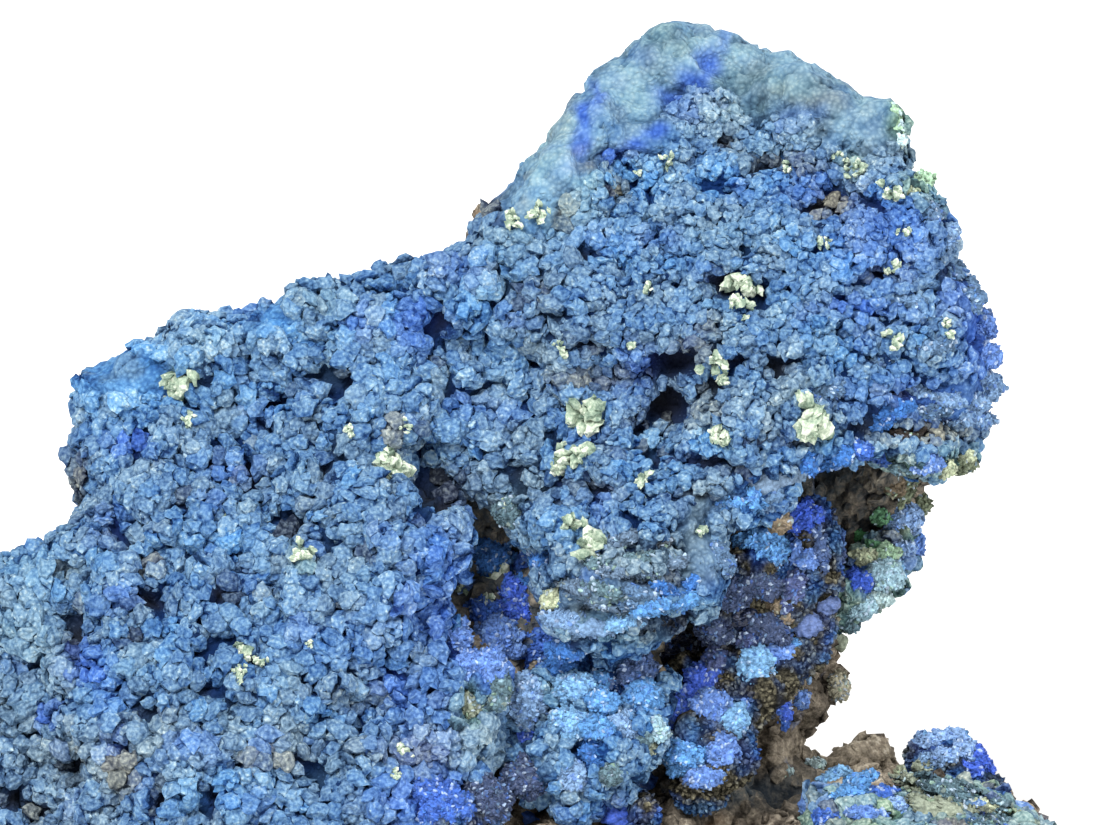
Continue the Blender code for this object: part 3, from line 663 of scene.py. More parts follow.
def rockMaterial(name, look):
    material, tree = newMaterial(name)
    place = {"Vector": addNode(tree, "ShaderNodeTexCoord").outputs["Object"]}
    grit, blotch = (
        addNode(
            tree, "ShaderNodeTexNoise", {"Scale": 1 / look[kind], "Detail": detail, "Roughness": roughness}, place
        ).outputs["Fac"]
        for kind, detail, roughness in (("grit", 5.0, 0.65), ("blotch", 4.0, 0.6))
    )
    chips = addNode(
        tree, "ShaderNodeTexVoronoi", {"Scale": 1 / look["chips"], "Randomness": 1.0}, place
    ).outputs["Distance"]
    rise = addNode(tree, "ShaderNodeAttribute", {"attribute_name": "rise"})
    # the tone follows the height: darker in the hollows, painted shade
    tone = addNode(tree, "ShaderNodeMath", look["height"], {0: rise.outputs["Fac"]}).outputs[0]
    tone = movedTone(tree, tone, {"grit": grit, "blotch": blotch, "chips": chips}, look["moves"])
    colour = addNode(tree, "ShaderNodeValToRGB", links={"Fac": tone}, stops=look["colours"]).outputs["Color"]
    rusty = addNode(tree, "ShaderNodeMapRange", look["rusty"], {"Value": blotch})
    rust = addNode(
        tree, "ShaderNodeMix", {"data_type": "RGBA", 7: linearColour(look["rust"])}, {0: rusty.outputs[0], 6: colour}
    )
    colour = mixedByPlace(tree, rust.outputs[2], rockKinds, look, tone)
    chipped = addNode(tree, "ShaderNodeBump", look["chipBump"], {"Height": chips})
    bump = addNode(tree, "ShaderNodeBump", look["gritBump"], {"Height": grit, "Normal": chipped.outputs[0]})
    shader = addNode(
        tree, "ShaderNodeBsdfPrincipled", {"Roughness": look["roughness"], "Specular IOR Level": look["specular"]},
        {"Base Color": colour, "Normal": bump.outputs[0]},
    )
    addNode(tree, "ShaderNodeOutputMaterial", links={"Surface": shader.outputs[0]})
    return material


# Malachite: pale green tufts of fine fibres, matt and nearly white where they catch the light.
tuftLook = {
    "colours": [(0.0, "#33463f"), (0.35, "#64796b"), (0.65, "#93a490"), (0.85, "#b5c0ac"), (1.0, "#d6dccd")],
    "fibre": 0.2 * mm,
    "roughness": 0.8,
    "specular": 0.3,
    "moves": {"fibre": 1.2},
    "bump": {"Strength": 0.6, "Distance": 0.1 * mm},
}


def tuftMaterial(name, look):
    material, tree = newMaterial(name)
    place = {"Vector": addNode(tree, "ShaderNodeTexCoord").outputs["Object"]}
    fibre = addNode(
        tree, "ShaderNodeTexNoise", {"Scale": 1 / look["fibre"], "Detail": 4.0, "Roughness": 0.6}, place
    ).outputs["Fac"]
    rise = addNode(tree, "ShaderNodeAttribute", {"attribute_name": "rise"})
    tone = movedTone(tree, rise.outputs["Fac"], {"fibre": fibre}, look["moves"])
    colour = addNode(tree, "ShaderNodeValToRGB", links={"Fac": tone}, stops=look["colours"])
    bump = addNode(tree, "ShaderNodeBump", look["bump"], {"Height": fibre})
    shader = addNode(
        tree, "ShaderNodeBsdfPrincipled", {"Roughness": look["roughness"], "Specular IOR Level": look["specular"]},
        {"Base Color": colour.outputs["Color"], "Normal": bump.outputs[0]},
    )
    addNode(tree, "ShaderNodeOutputMaterial", links={"Surface": shader.outputs[0]})
    return material


dustyAzurite = druseMaterial("azurite druse, grown in dusty crumbs", druseLook, 0.05)
freshAzurite = druseMaterial("azurite druse, fresh small crystals", druseLook, 0.25)
limonite = rockMaterial("limonite, broken and weathered", rockLook)
malachite = tuftMaterial("malachite, grown in tufts", tuftLook)
slotMaterial = {
    "azurite": dustyAzurite, "deep_azurite": freshAzurite, "azurite_on_malachite": dustyAzurite, "limonite": limonite
}
slotRise = {"azurite": 0.5, "deep_azurite": 0.2, "azurite_on_malachite": 0.5, "limonite": 1.0}  # the tone on the highest parts; lower parts are darker, painted shade
print("materials")

# the skins

crust = {
    "voxel": 0.36 * mm,
    "rounds": 3,
    "pitDepth": 1.3 * mm,
    "layers": [
        {"form": "lumps", "size": 3.2 * mm, "height": 0.6 * mm, "seed": 1},
        {"form": "blocks", "size": 2.0 * mm, "height": 0.7 * mm, "seed": 2},
        {"form": "cracks", "size": 2.3 * mm, "height": 0.9 * mm, "seed": 3, "width": 0.2},
        {"form": "swells", "size": 6.0 * mm, "height": 0.35 * mm, "seed": 5},
    ],
}
rock = {
    "voxel": 0.45 * mm,
    "rounds": 2,
    "pitDepth": 0.0,
    "layers": [
        {"form": "swells", "size": 5.0 * mm, "height": 0.7 * mm, "seed": 21},
        {"form": "blocks", "size": 2.6 * mm, "height": 0.9 * mm, "seed": 22},
        {"form": "pits", "size": 2.0 * mm, "height": 0.9 * mm, "seed": 23, "level": 0.3},
        {"form": "cracks", "size": 4.5 * mm, "height": 0.6 * mm, "seed": 24, "width": 0.1},
        {"form": "swells", "size": 0.9 * mm, "height": 0.18 * mm, "seed": 25},
    ],
}
nodule = {
    "voxel": 0.26 * mm,
    "rounds": 3,
    "pitDepth": 0.0,
    "layers": [
        {"form": "lumps", "size": 1.6 * mm, "height": 0.5 * mm, "seed": 31},
        {"form": "cracks", "size": 1.8 * mm, "height": 0.35 * mm, "seed": 32, "width": 0.15},
    ],
}
ledge = {
    "voxel": 0.34 * mm,
    "rounds": 3,
    "pitDepth": 0.0,
    "layers": [
        {"form": "lumps", "size": 2.2 * mm, "height": 0.6 * mm, "seed": 41},
        {"form": "blocks", "size": 1.4 * mm, "height": 0.4 * mm, "seed": 43},
        {"form": "cracks", "size": 2.4 * mm, "height": 0.45 * mm, "seed": 42, "width": 0.16},
    ],
}
pieceSkins = {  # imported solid: the piece that stands for it, how it is made, and its slot
    "azurite_crust": ("azuriteCrust", crust, "azurite"),
    "limonite_matrix": ("limoniteMatrix", rock, "limonite"),
    "hollow_nodules": ("hollowNodules", nodule, "deep_azurite"),
    "azurite_dome": ("azuriteDome", nodule, "deep_azurite"),
    "azurite_ball": ("azuriteBall", nodule, "deep_azurite"),
    "shelf_nodules": ("shelfNodules", nodule, "deep_azurite"),
    "azurite_knob": ("azuriteKnob", nodule, "deep_azurite"),
    "ledge_crust": ("ledgeCrust", ledge, "azurite_on_malachite"),
    "rim_crust": ("rimCrust", ledge, "azurite_on_malachite"),
}


# How each slot's colours are mottled: how much of a colour there is, how far that swings, the size of its spots
# in millimetres, their seed, and the most that there can be.
mottles = {
    "limonite": {"tan": (-0.15, 1.1, 1.8, 49, 0.6)},
    "deep_azurite": {
        "deep": (0.2, 0.9, 1.4, 51, 0.8), "brown": (0.3, 1.5, 1.2, 53, 1.0), "grey": (0.4, 1.2, 1.5, 50, 0.9),
    },
    "azurite_on_malachite": {
        "green": (0.35, 1.3, 2.0, 54, 1.0), "deep": (0.0, -1.5, 2.0, 54, 0.8), "pale": (0.6, 1.0, 1.7, 55, 0.9),
        "grey": (0.45, 1.0, 1.3, 60, 0.8), "brown": (-0.1, 1.6, 1.4, 56, 0.8),
    },
    "azurite": {
        "sky": (-0.2, 1.2, 2.2, 64, 0.5), "deep": (-0.25, 0.9, 3.0, 57, 0.5), "brown": (-0.6, 1.2, 1.3, 58, 0.5),
        "grey": (0.12, 1.0, 1.6, 59, 0.55), "pale": (-0.15, 0.8, 2.4, 62, 0.3),
    },
}
paleThins = (0.85, 0.9, 1.5, 63)  # the pale patches are mottled too: level, swing, size and seed
brownInPits = 0.85
blueSpecks = {"fine": (3.0, 1.3, 81), "wide": (1.5, 7.0, 82), "level": -1.6, "most": 0.8}  # azurite dust on the rock


def swing(points, gain, size, seed):
    return gain * wobble(points, size * mm, seed)


def colouring(points, normals, slot):
    # how much of each colour lies at each point
    masks = masksOf(points, normals)
    if slot == "azurite":
        level, *thins = paleThins
        masks["pale"] = masks["pale"] * np.clip(level + swing(points, *thins), 0.2, 1)
    if slot == "deep_azurite":
        masks["pale"] = masks["green"] = np.zeros(len(points))
    for kind, (level, gain, size, seed, most) in mottles[slot].items():
        amount = level + swing(points, gain, size, seed)
        if slot == "azurite_on_malachite":
            masks[kind] = np.clip(amount, 0, most)
        elif slot != "deep_azurite":  # laid over the patches
            masks[kind] = np.clip(masks[kind] + np.clip(amount, 0, most), 0, 1)
        elif kind == "brown":
            masks[kind] = np.clip(amount + masks["rockShows"], 0, most)
        else:
            masks[kind] = np.clip(amount, 0, most) * (1 - masks["rockShows"])
    if slot == "azurite":
        masks["brown"] = np.maximum(masks["brown"], brownInPits * masks["pit"])
    if slot != "limonite":
        return {kind: masks[kind] for kind in colourKinds}
    specks = swing(points, *blueSpecks["fine"]) + swing(points, *blueSpecks["wide"]) + blueSpecks["level"]
    masks["specks"] = np.clip(specks, 0, blueSpecks["most"])
    return {kind: masks[kind] for kind in rockKinds}


crustCalm = {
    "relief": 0.6,  # how far the relief fades on smooth places
    "roughTone": (-0.22, 0.5),  # between the crumbs: the tone in a gap, painted shade, and how far it rises
    "smoothTone": (0.26, 0.35),
    "pitCalm": 0.6,
}
shadeSize = 0.8 * mm

skins, rises, calms = {}, {}, {}
for node, (name, settings, slot) in pieceSkins.items():
    skin = skinOver(name, node, settings["voxel"], settings["rounds"])
    points, normals = coordinatesOf(skin.data), normalsOf(skin.data)
    masks = masksOf(points, normals)
    onCrust = node == "azurite_crust"
    calm, pits = (masks[kind] if onCrust else np.zeros(len(points)) for kind in ("smooth", "pit"))
    rise = addRelief(skin, settings, crustCalm["relief"] * calm, pits)
    skin.data.polygons.foreach_set("use_smooth", np.ones(len(skin.data.polygons), bool))
    if onCrust:
        # the skin's tone follows its height and drops in the pits: painted shade in the gaps and the pits
        height = np.clip(rise * (1 - pits), 0, 1)
        rough, smooth = (low + gain * height for low, gain in (crustCalm["roughTone"], crustCalm["smoothTone"]))
        setAttribute(skin.data, "rise", rough * (1 - calm) + smooth * calm)
        setAttribute(skin.data, "calm", calm)
    else:
        # the tone follows the height: painted shade in the low parts
        setAttribute(skin.data, "rise", rise * slotRise[slot])
    setAttribute(skin.data, "shade", 0.5 + 0.5 * wobble(points, shadeSize, 61))
    for kind, values in colouring(points, normals, slot).items():
        setAttribute(skin.data, kind, values)
    finished(skin, slotMaterial[slot])
    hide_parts(node)
    skins[node], rises[node] = skin, rise
    calms[node] = np.maximum(calm, crustCalm["pitCalm"] * pits)
    print("skin", name, len(skin.data.polygons), "faces")

trees = {node: BVHTree.FromObject(skin, bpy.context.evaluated_depsgraph_get()) for node, skin in skins.items()}

# Fresh azurite: single nodules and plates with their own colours, some smooth and glassy, some rough with
# small crystals. Their colour comes from the tint that each one is given, darker in its hollows and round its outline,
# painted shade, and lighter on its front, painted light.
noduleLook = {
    "speckle": 0.17 * mm,
    "facets": 0.34 * mm,
    "streaks": (0.8 * mm, 0.3 * mm, 0.22 * mm),
    # the pale colour of the painted highlight streaks
    "highlightStreakColour": "#93a4d0",
    "highlightStreakRange": {"From Min": 0.58, "From Max": 0.85},
    "roughness": {"To Min": 0.75, "To Max": 0.25},  # dull, and glassy
    "specular": {"To Min": 0.06, "To Max": 0.35},
    "height": {"operation": "MULTIPLY_ADD", 1: 1.1, 2: 0.25},
    "moves": {"speckle": 2.6, "facets": -0.8},
    "level": {"From Min": -0.6, "From Max": 2.0, "To Min": 0.1, "To Max": 1.75},  # how light a tone makes the tint
    "bump": {"Strength": 0.8, "Distance": 0.16 * mm, "invert": True},
}
tints = {
    "azureBright": "#6aa2da", "azure": "#5688bc", "azurePale": "#74a0c6", "azureDeep": "#3a68a6", "royal": "#3c60ad",
    "ultramarine": "#3f5dbb", "periwinkle": "#5f80bd", "periwinklePale": "#7d9bc4", "periwinkleDark": "#526490",
    "violetDark": "#404b72", "navy": "#3a4765", "navyBlack": "#141b30", "slateViolet": "#465a82", "steel": "#55708e",
    "steelPale": "#7391b4", "tealPale": "#b0c6c8", "tealBlue": "#92b1be", "greyTeal": "#58707a", "greyFilm": "#60758c",
    "taupeGrey": "#535c66", "tan": "#7a6e5c", "brownDark": "#332e2a", "olive": "#6c7560",
    "olivePale": "#848c7c", "cream": "#adb599", "bone": "#a09c88", "green": "#5d8a68", "emerald": "#5c9a66",
    "greenPale": "#98b69a",
}


def noduleMaterial(name, look):
    material, tree = newMaterial(name)
    place = addNode(tree, "ShaderNodeTexCoord").outputs["Object"]
    speckle = addNode(
        tree, "ShaderNodeTexNoise", {"Scale": 1 / look["speckle"], "Detail": 2.0, "Roughness": 0.6}, {"Vector": place}
    ).outputs["Fac"]
    facets = addNode(tree, "ShaderNodeTexVoronoi", {"Scale": 1 / look["facets"]}, {"Vector": place}).outputs["Distance"]
    tint = addNode(tree, "ShaderNodeAttribute", {"attribute_name": "tint"}).outputs["Color"]
    rise, glass = (
        addNode(tree, "ShaderNodeAttribute", {"attribute_name": kind}).outputs["Fac"] for kind in ("rise", "glass")
    )
    # the tone follows the rise attribute: painted shade low down and round the outline, painted light high up and in
    # front
    tone = addNode(tree, "ShaderNodeMath", look["height"], {0: rise}).outputs[0]
    tone = movedTone(tree, tone, {"speckle": speckle, "facets": facets}, look["moves"])
    level = addNode(tree, "ShaderNodeMapRange", look["level"], {"Value": tone})
    colour = addNode(tree, "ShaderNodeVectorMath", {"operation": "SCALE"}, {0: tint, "Scale": level.outputs[0]})
    # painted highlights: the glassy ones are paled in thin streaks along their growth, where they would catch the light
    stretched = addNode(tree, "ShaderNodeVectorMath", {"operation": "DIVIDE", 1: look["streaks"]}, {0: place})
    streaks = addNode(
        tree, "ShaderNodeTexNoise", {"Scale": 1.0, "Detail": 3.0, "Distortion": 2.5}, {"Vector": stretched.outputs[0]}
    )
    streakHighlight = addNode(tree, "ShaderNodeMapRange", look["highlightStreakRange"], {"Value": streaks.outputs["Fac"]})
    share = addNode(tree, "ShaderNodeMath", {"operation": "MULTIPLY"}, {0: streakHighlight.outputs[0], 1: glass})
    colour = addNode(
        tree, "ShaderNodeMix", {"data_type": "RGBA", 7: linearColour(look["highlightStreakColour"])},
        {0: share.outputs[0], 6: colour.outputs[0]},
    )
    links = {"Base Color": colour.outputs[2]}
    links["Roughness"] = addNode(tree, "ShaderNodeMapRange", look["roughness"], {"Value": glass}).outputs[0]
    links["Specular IOR Level"] = addNode(tree, "ShaderNodeMapRange", look["specular"], {"Value": glass}).outputs[0]
    links["Normal"] = addNode(tree, "ShaderNodeBump", look["bump"], {"Height": facets}).outputs[0]
    shader = addNode(tree, "ShaderNodeBsdfPrincipled", links=links)
    addNode(tree, "ShaderNodeOutputMaterial", links={"Surface": shader.outputs[0]})
    return material


freshNodules = noduleMaterial("azurite nodules, fresh and glassy", noduleLook)

# Each lump: its place in the view, its half width and half height in pixels, its tint, how glassy it is,
# whether small crystals cover it, and where it stands far forward, its half depth in millimetres.
# A lump sits where that place falls on the stone.
lumps = {
    "hollowLumps": ("deep_azurite", [
        (775, 481, 30, 12, "greyFilm", 0.2, False), (776, 494, 12, 7, "steel", 0.1, True),
        (745, 498, 25, 17, "azure", 0.1, True), (770, 505, 10, 9, "steelPale", 0.2, True),
        (731, 592, 22, 18, "navy", 0.5, True), (762, 586, 22, 13, "navy", 0.6, True),
        (793, 592, 12, 22, "violetDark", 0.6, True), (718, 630, 21, 17, "navy", 0.6, True),
        (742, 618, 16, 13, "navyBlack", 0.9, False), (768, 630, 22, 14, "navy", 0.6, True),
        (748, 642, 10, 13, "violetDark", 0.6, True), (762, 551, 27, 22, "azureBright", 0.1, True),
        (780, 522, 11, 11, "tan", 0.3, True), (741, 533, 9, 9, "tan", 0.3, True),
        (804, 519, 18, 18, "ultramarine", 0.1, True), (821, 545, 8, 26, "slateViolet", 0.4, True),
        (806, 553, 15, 18, "periwinkle", 0.3, True), (722, 561, 11, 17, "steel", 0.3, True),
        (826, 603, 13, 13, "periwinkleDark", 0.5, False), (808, 626, 14, 13, "periwinkleDark", 0.5, False),
        (777, 605, 9, 9, "tan", 0.3, True), (788, 618, 8, 7, "tan", 0.3, True),
        (755, 666, 19, 22, "azurePale", 0.1, True), (778, 654, 15, 13, "periwinkle", 0.3, True),
        (793, 646, 9, 8, "azure", 0.2, True), (716, 662, 14, 14, "violetDark", 0.6, True),
        (702, 682, 18, 19, "ultramarine", 0.4, True), (679, 712, 12, 27, "ultramarine", 0.4, True),
        (712, 708, 22, 18, "periwinkle", 0.3, True), (735, 722, 14, 18, "azurePale", 0.3, True),
        (745, 706, 9, 11, "periwinkle", 0.3, True), (690, 754, 28, 25, "azure", 0.2, True),
        (722, 752, 15, 19, "periwinkle", 0.4, True), (704, 778, 19, 11, "periwinkle", 0.3, True),
        (694, 692, 6, 6, "tan", 0.3, True),
    ]),
    "rockFlecks": ("deep_azurite", [
        (782, 706, 9, 13, "ultramarine", 0.4, True), (801, 699, 10, 9, "periwinkle", 0.4, True),
        (806, 680, 6, 9, "steelPale", 0.2, False), (784, 724, 6, 7, "royal", 0.4, True),
        (787, 772, 7, 5, "tealPale", 0.2, True), (839, 686, 11, 15, "bone", 0.1, True),
        (842, 679, 6, 7, "olivePale", 0.1, True), (897, 486, 11, 13, "tan", 0.1, True),
        (909, 482, 7, 22, "olive", 0.1, True), (922, 506, 9, 11, "olive", 0.1, True),
    ]),
    "rimLumps": ("azurite_on_malachite", [
        (905, 521, 19, 16, "periwinklePale", 0.2, True), (913, 545, 13, 14, "periwinkle", 0.2, True),
        (903, 550, 12, 10, "periwinklePale", 0.2, True), (882, 517, 10, 9, "green", 0.2, True),
        (860, 535, 14, 7, "emerald", 0.2, True), (873, 546, 10, 7, "green", 0.2, True),
        (868, 560, 19, 11, "cream", 0.1, True), (887, 554, 14, 11, "greenPale", 0.1, True),
        (858, 581, 14, 11, "ultramarine", 0.1, True), (886, 576, 18, 16, "tealBlue", 0.2, True),
        (894, 574, 12, 14, "azurePale", 0.2, True), (876, 595, 19, 12, "tealPale", 0.2, True),
        (862, 606, 14, 14, "tealBlue", 0.2, True), (850, 622, 12, 10, "greyTeal", 0.2, True),
        (839, 642, 8, 10, "olivePale", 0.2, False),
    ]),
    "clusterLumps": ("azurite", [
        (629, 672, 27, 24, "slateViolet", 0.4, True), (670, 652, 26, 25, "navyBlack", 0.8, True),
        (542, 650, 28, 22, "royal", 0.3, True), (568, 648, 20, 14, "azureDeep", 0.2, True),
        (526, 701, 21, 29, "steelPale", 0.2, True), (496, 690, 15, 20, "greyTeal", 0.2, True),
        (576, 690, 21, 18, "azurePale", 0.2, True), (601, 704, 17, 16, "azure", 0.2, True),
        (561, 671, 16, 13, "azureDeep", 0.2, True), (571, 726, 21, 18, "azurePale", 0.2, True),
        (597, 730, 18, 14, "azure", 0.2, True), (621, 728, 17, 15, "steelPale", 0.2, True),
        (600, 680, 15, 12, "azure", 0.2, True), (525, 738, 19, 13, "ultramarine", 0.6, True),
        (595, 752, 14, 14, "azureDeep", 0.2, True), (612, 772, 12, 13, "greyTeal", 0.2, True),
        (573, 776, 16, 16, "steelPale", 0.4, True), (531, 776, 30, 20, "navy", 0.6, True),
        (518, 768, 10, 9, "tan", 0.2, True), (657, 731, 11, 13, "tealBlue", 0.2, True),
        (640, 738, 12, 10, "greyTeal", 0.2, True), (650, 750, 9, 7, "olivePale", 0.1, True),
        (643, 697, 20, 15, "azure", 0.3, True), (658, 672, 8, 6, "tan", 0.3, False),
        (646, 784, 14, 14, "royal", 0.9, False), (617, 815, 20, 12, "ultramarine", 0.5, False),
        (530, 822, 18, 8, "royal", 0.5, False), (486, 801, 24, 24, "navy", 0.6, True),
        (437, 803, 32, 24, "royal", 0.4, True),
    ]),
    "cleftLumps": ("azurite", [
        (488, 562, 27, 25, "azureDeep", 0.1, True), (462, 592, 16, 12, "periwinkle", 0.2, True),
        (517, 608, 17, 30, "ultramarine", 0.2, True), (497, 642, 26, 22, "periwinkle", 0.2, True),
        (482, 668, 26, 18, "periwinkle", 0.2, True), (455, 642, 16, 22, "periwinkle", 0.2, True),
        (469, 706, 13, 24, "olivePale", 0.1, True), (512, 512, 16, 16, "greyTeal", 0.1, True),
        (484, 612, 18, 14, "royal", 0.1, True, 1.4), (526, 566, 11, 16, "royal", 0.1, True),
        (522, 588, 11, 12, "azureDeep", 0.1, True),
    ]),
    "lobePlates": ("azurite", [
        (625, 540, 20, 9, "greyFilm", 0.1, True), (658, 545, 16, 8, "taupeGrey", 0.1, True),
        (638, 558, 18, 6, "greyTeal", 0.1, True), (672, 563, 16, 7, "greyFilm", 0.1, True),
        (597, 562, 18, 7, "greyTeal", 0.1, True), (616, 572, 18, 7, "greyFilm", 0.1, True),
        (648, 577, 20, 6, "greyFilm", 0.1, True), (580, 586, 20, 7, "greyFilm", 0.1, True),
        (606, 590, 20, 7, "greyTeal", 0.1, True), (640, 592, 20, 6, "steel", 0.1, True),
        (668, 590, 18, 6, "azureDeep", 0.1, True), (590, 602, 24, 6, "greyFilm", 0.1, True),
        (622, 604, 18, 6, "steel", 0.1, True), (565, 620, 22, 10, "steelPale", 0.1, True),
        (596, 628, 26, 10, "steelPale", 0.1, True), (622, 622, 20, 8, "azurePale", 0.1, True),
        (650, 608, 20, 8, "azure", 0.1, True), (678, 603, 20, 9, "azure", 0.1, True),
        (554, 600, 13, 10, "cream", 0.1, True), (546, 560, 14, 20, "azureDeep", 0.1, True),
        (690, 585, 14, 10, "azureDeep", 0.1, True),
    ]),
    "browLumps": ("azurite", [
        (895, 112, 6, 10, "greenPale", 0.1, True), (898, 128, 6, 11, "greenPale", 0.1, True),
        (901, 140, 6, 7, "tealPale", 0.1, True), (922, 180, 13, 8, "greenPale", 0.1, True),
        (912, 192, 8, 6, "cream", 0.1, True), (808, 463, 11, 13, "azureDeep", 0.1, True),
        (827, 459, 10, 11, "azureDeep", 0.1, True), (843, 455, 10, 11, "azureDeep", 0.1, True),
        (860, 449, 12, 9, "royal", 0.1, True), (885, 455, 18, 10, "royal", 0.2, True),
        (915, 394, 22, 9, "steelPale", 0.1, True), (946, 398, 20, 10, "steelPale", 0.1, True),
        (975, 402, 17, 9, "steelPale", 0.1, True), (930, 412, 22, 8, "steel", 0.1, True),
        (962, 418, 20, 8, "steelPale", 0.1, True), (985, 420, 12, 8, "steelPale", 0.1, True),
        # the brownDark sheet at 905, 434 lies in the shade under the brow's plates: painted shade
        (895, 410, 20, 8, "azureDeep", 0.1, True), (905, 434, 22, 6, "brownDark", 0.1, True),
        (875, 424, 20, 8, "azureDeep", 0.1, True), (962, 463, 15, 12, "olive", 0.1, True),
        (946, 468, 10, 9, "cream", 0.1, True), (928, 464, 15, 9, "periwinkle", 0.2, True),
        (906, 468, 14, 8, "greyTeal", 0.1, True), (968, 456, 8, 8, "cream", 0.1, True),
        (972, 300, 15, 12, "steel", 0.2, True), (980, 326, 15, 16, "periwinkle", 0.2, True),
        (986, 356, 14, 14, "periwinkle", 0.2, True), (987, 386, 17, 14, "steelPale", 0.2, True),
        (952, 272, 14, 12, "steel", 0.2, True), (950, 236, 10, 14, "steelPale", 0.2, True),
        (970, 284, 9, 8, "steel", 0.2, True), (930, 216, 12, 12, "steel", 0.2, True),
        (905, 300, 18, 9, "steel", 0.1, True), (935, 345, 18, 10, "steel", 0.1, True),
        (880, 362, 18, 10, "steel", 0.1, True), (825, 392, 20, 10, "steel", 0.1, True),
    ]),
    "ledgeLumps": ("azurite_on_malachite", [
        (816, 765, 10, 8, "tealPale", 0.2, True), (836, 777, 17, 9, "azurePale", 0.2, True),
        (863, 781, 18, 10, "azure", 0.2, True), (850, 796, 18, 10, "azure", 0.2, True),
        (881, 796, 20, 10, "royal", 0.3, True), (828, 818, 15, 9, "royal", 0.3, True),
        (903, 808, 18, 10, "periwinklePale", 0.2, True), (868, 815, 20, 9, "periwinkle", 0.2, True),
        (906, 774, 12, 8, "cream", 0.1, True), (930, 788, 34, 8, "olivePale", 0.1, True),
        (965, 794, 42, 9, "greyTeal", 0.1, True), (1000, 810, 26, 7, "cream", 0.1, True),
        (942, 810, 38, 9, "olivePale", 0.1, True), (985, 821, 36, 7, "greyTeal", 0.1, True),
        (925, 765, 12, 8, "olivePale", 0.1, True), (924, 744, 12, 12, "periwinklePale", 0.2, True),
        (936, 741, 13, 10, "periwinklePale", 0.2, True), (950, 736, 14, 9, "periwinklePale", 0.2, True),
        (962, 741, 9, 9, "azure", 0.2, True), (926, 740, 6, 8, "azurePale", 0.2, True),
        (965, 745, 11, 8, "periwinklePale", 0.3, True), (976, 758, 11, 13, "ultramarine", 0.4, True),
        (962, 752, 15, 12, "periwinklePale", 0.3, True), (944, 757, 14, 10, "periwinklePale", 0.2, True),
        (986, 770, 10, 10, "ultramarine", 0.4, True), (967, 769, 16, 8, "ultramarine", 0.3, True),
        (929, 762, 10, 8, "steelPale", 0.2, True),
    ]),
}


growth = {
    "overFloor": 0.8 * mm,
    "leastRise": 0.18,  # crumbs don't grow in the gaps
    "mostCalm": 0.45,  # nor on the smooth places
    "underLump": 0.75,  # nor well inside a lump's outline, on the side that faces the lens
    "turnedAway": 0.3,
    "start": 0.15 * mm,  # from here a crumb has to have some room in front of it
    "room": 1.6 * mm,
    "scale": (0.9, 0.25),  # the least share of its size that a crumb has, and how far that varies
    "gapShade": (0.7, 0.3),  # how light a crumb is in a gap, and how much lighter on a lump: painted shade in the gaps
    "pitShade": 0.9,  # how much darker in a pit: painted shade
    "foot": (0.3, 0.35),  # the share of a crumb that is dark round its foot, painted shade, and how softly that ends
}


def underLumps(points, normals):
    # whether each point is covered by one of the lumps
    x, y = pixelsOf(points)
    covered = np.zeros(len(points), bool)
    for _, table in lumps.values():
        for atX, atY, halfWidth, halfHeight, *_ in table:
            covered |= ((x - atX) / halfWidth) ** 2 + ((y - atY) / halfHeight) ** 2 < growth["underLump"]
    return covered & (normals @ np.array(viewAway) < growth["turnedAway"])


# the crumbs on the skins

popcorn = {
    "level": 0.62,  # how light the tops of the crumbs are, painted light
    "sizes": (0.78 * mm, 0.56 * mm, 0.4 * mm, 0.28 * mm),
    "packing": 0.56,
    "tries": 4,
    "sink": 0.16,
    "tilt": 0.35,
    "forms": 10,
    "coarse": {"subdivisions": 2, "lobes": 1.7, "lumpiness": 1.1, "scale": (1.0, 0.85, 0.6), "seed": 3.0},
    "fine": {"subdivisions": 1, "lobes": 1.2, "lumpiness": 0.6, "scale": (1.0, 0.85, 0.8), "seed": 4.0},
    "fineBelow": 0.32 * mm,
}
finePopcorn = popcorn | {"sizes": (0.56 * mm, 0.44 * mm, 0.32 * mm, 0.24 * mm)}  # the head's are smaller
sugar = {
    "level": 0.38,
    "sizes": (0.24 * mm, 0.17 * mm),
    "packing": 0.75,
    "tries": 4,
    "sink": 0.0,
    "tilt": 0.5,
    "forms": 8,
    "coarse": {"subdivisions": 1, "lobes": 1.2, "lumpiness": 0.5, "scale": (0.5, 1.0, 1.2), "seed": 5.0},
    "fine": {"subdivisions": 1, "lobes": 1.2, "lumpiness": 0.5, "scale": (0.5, 1.0, 1.2), "seed": 6.0},
    "fineBelow": 0.2 * mm,
}


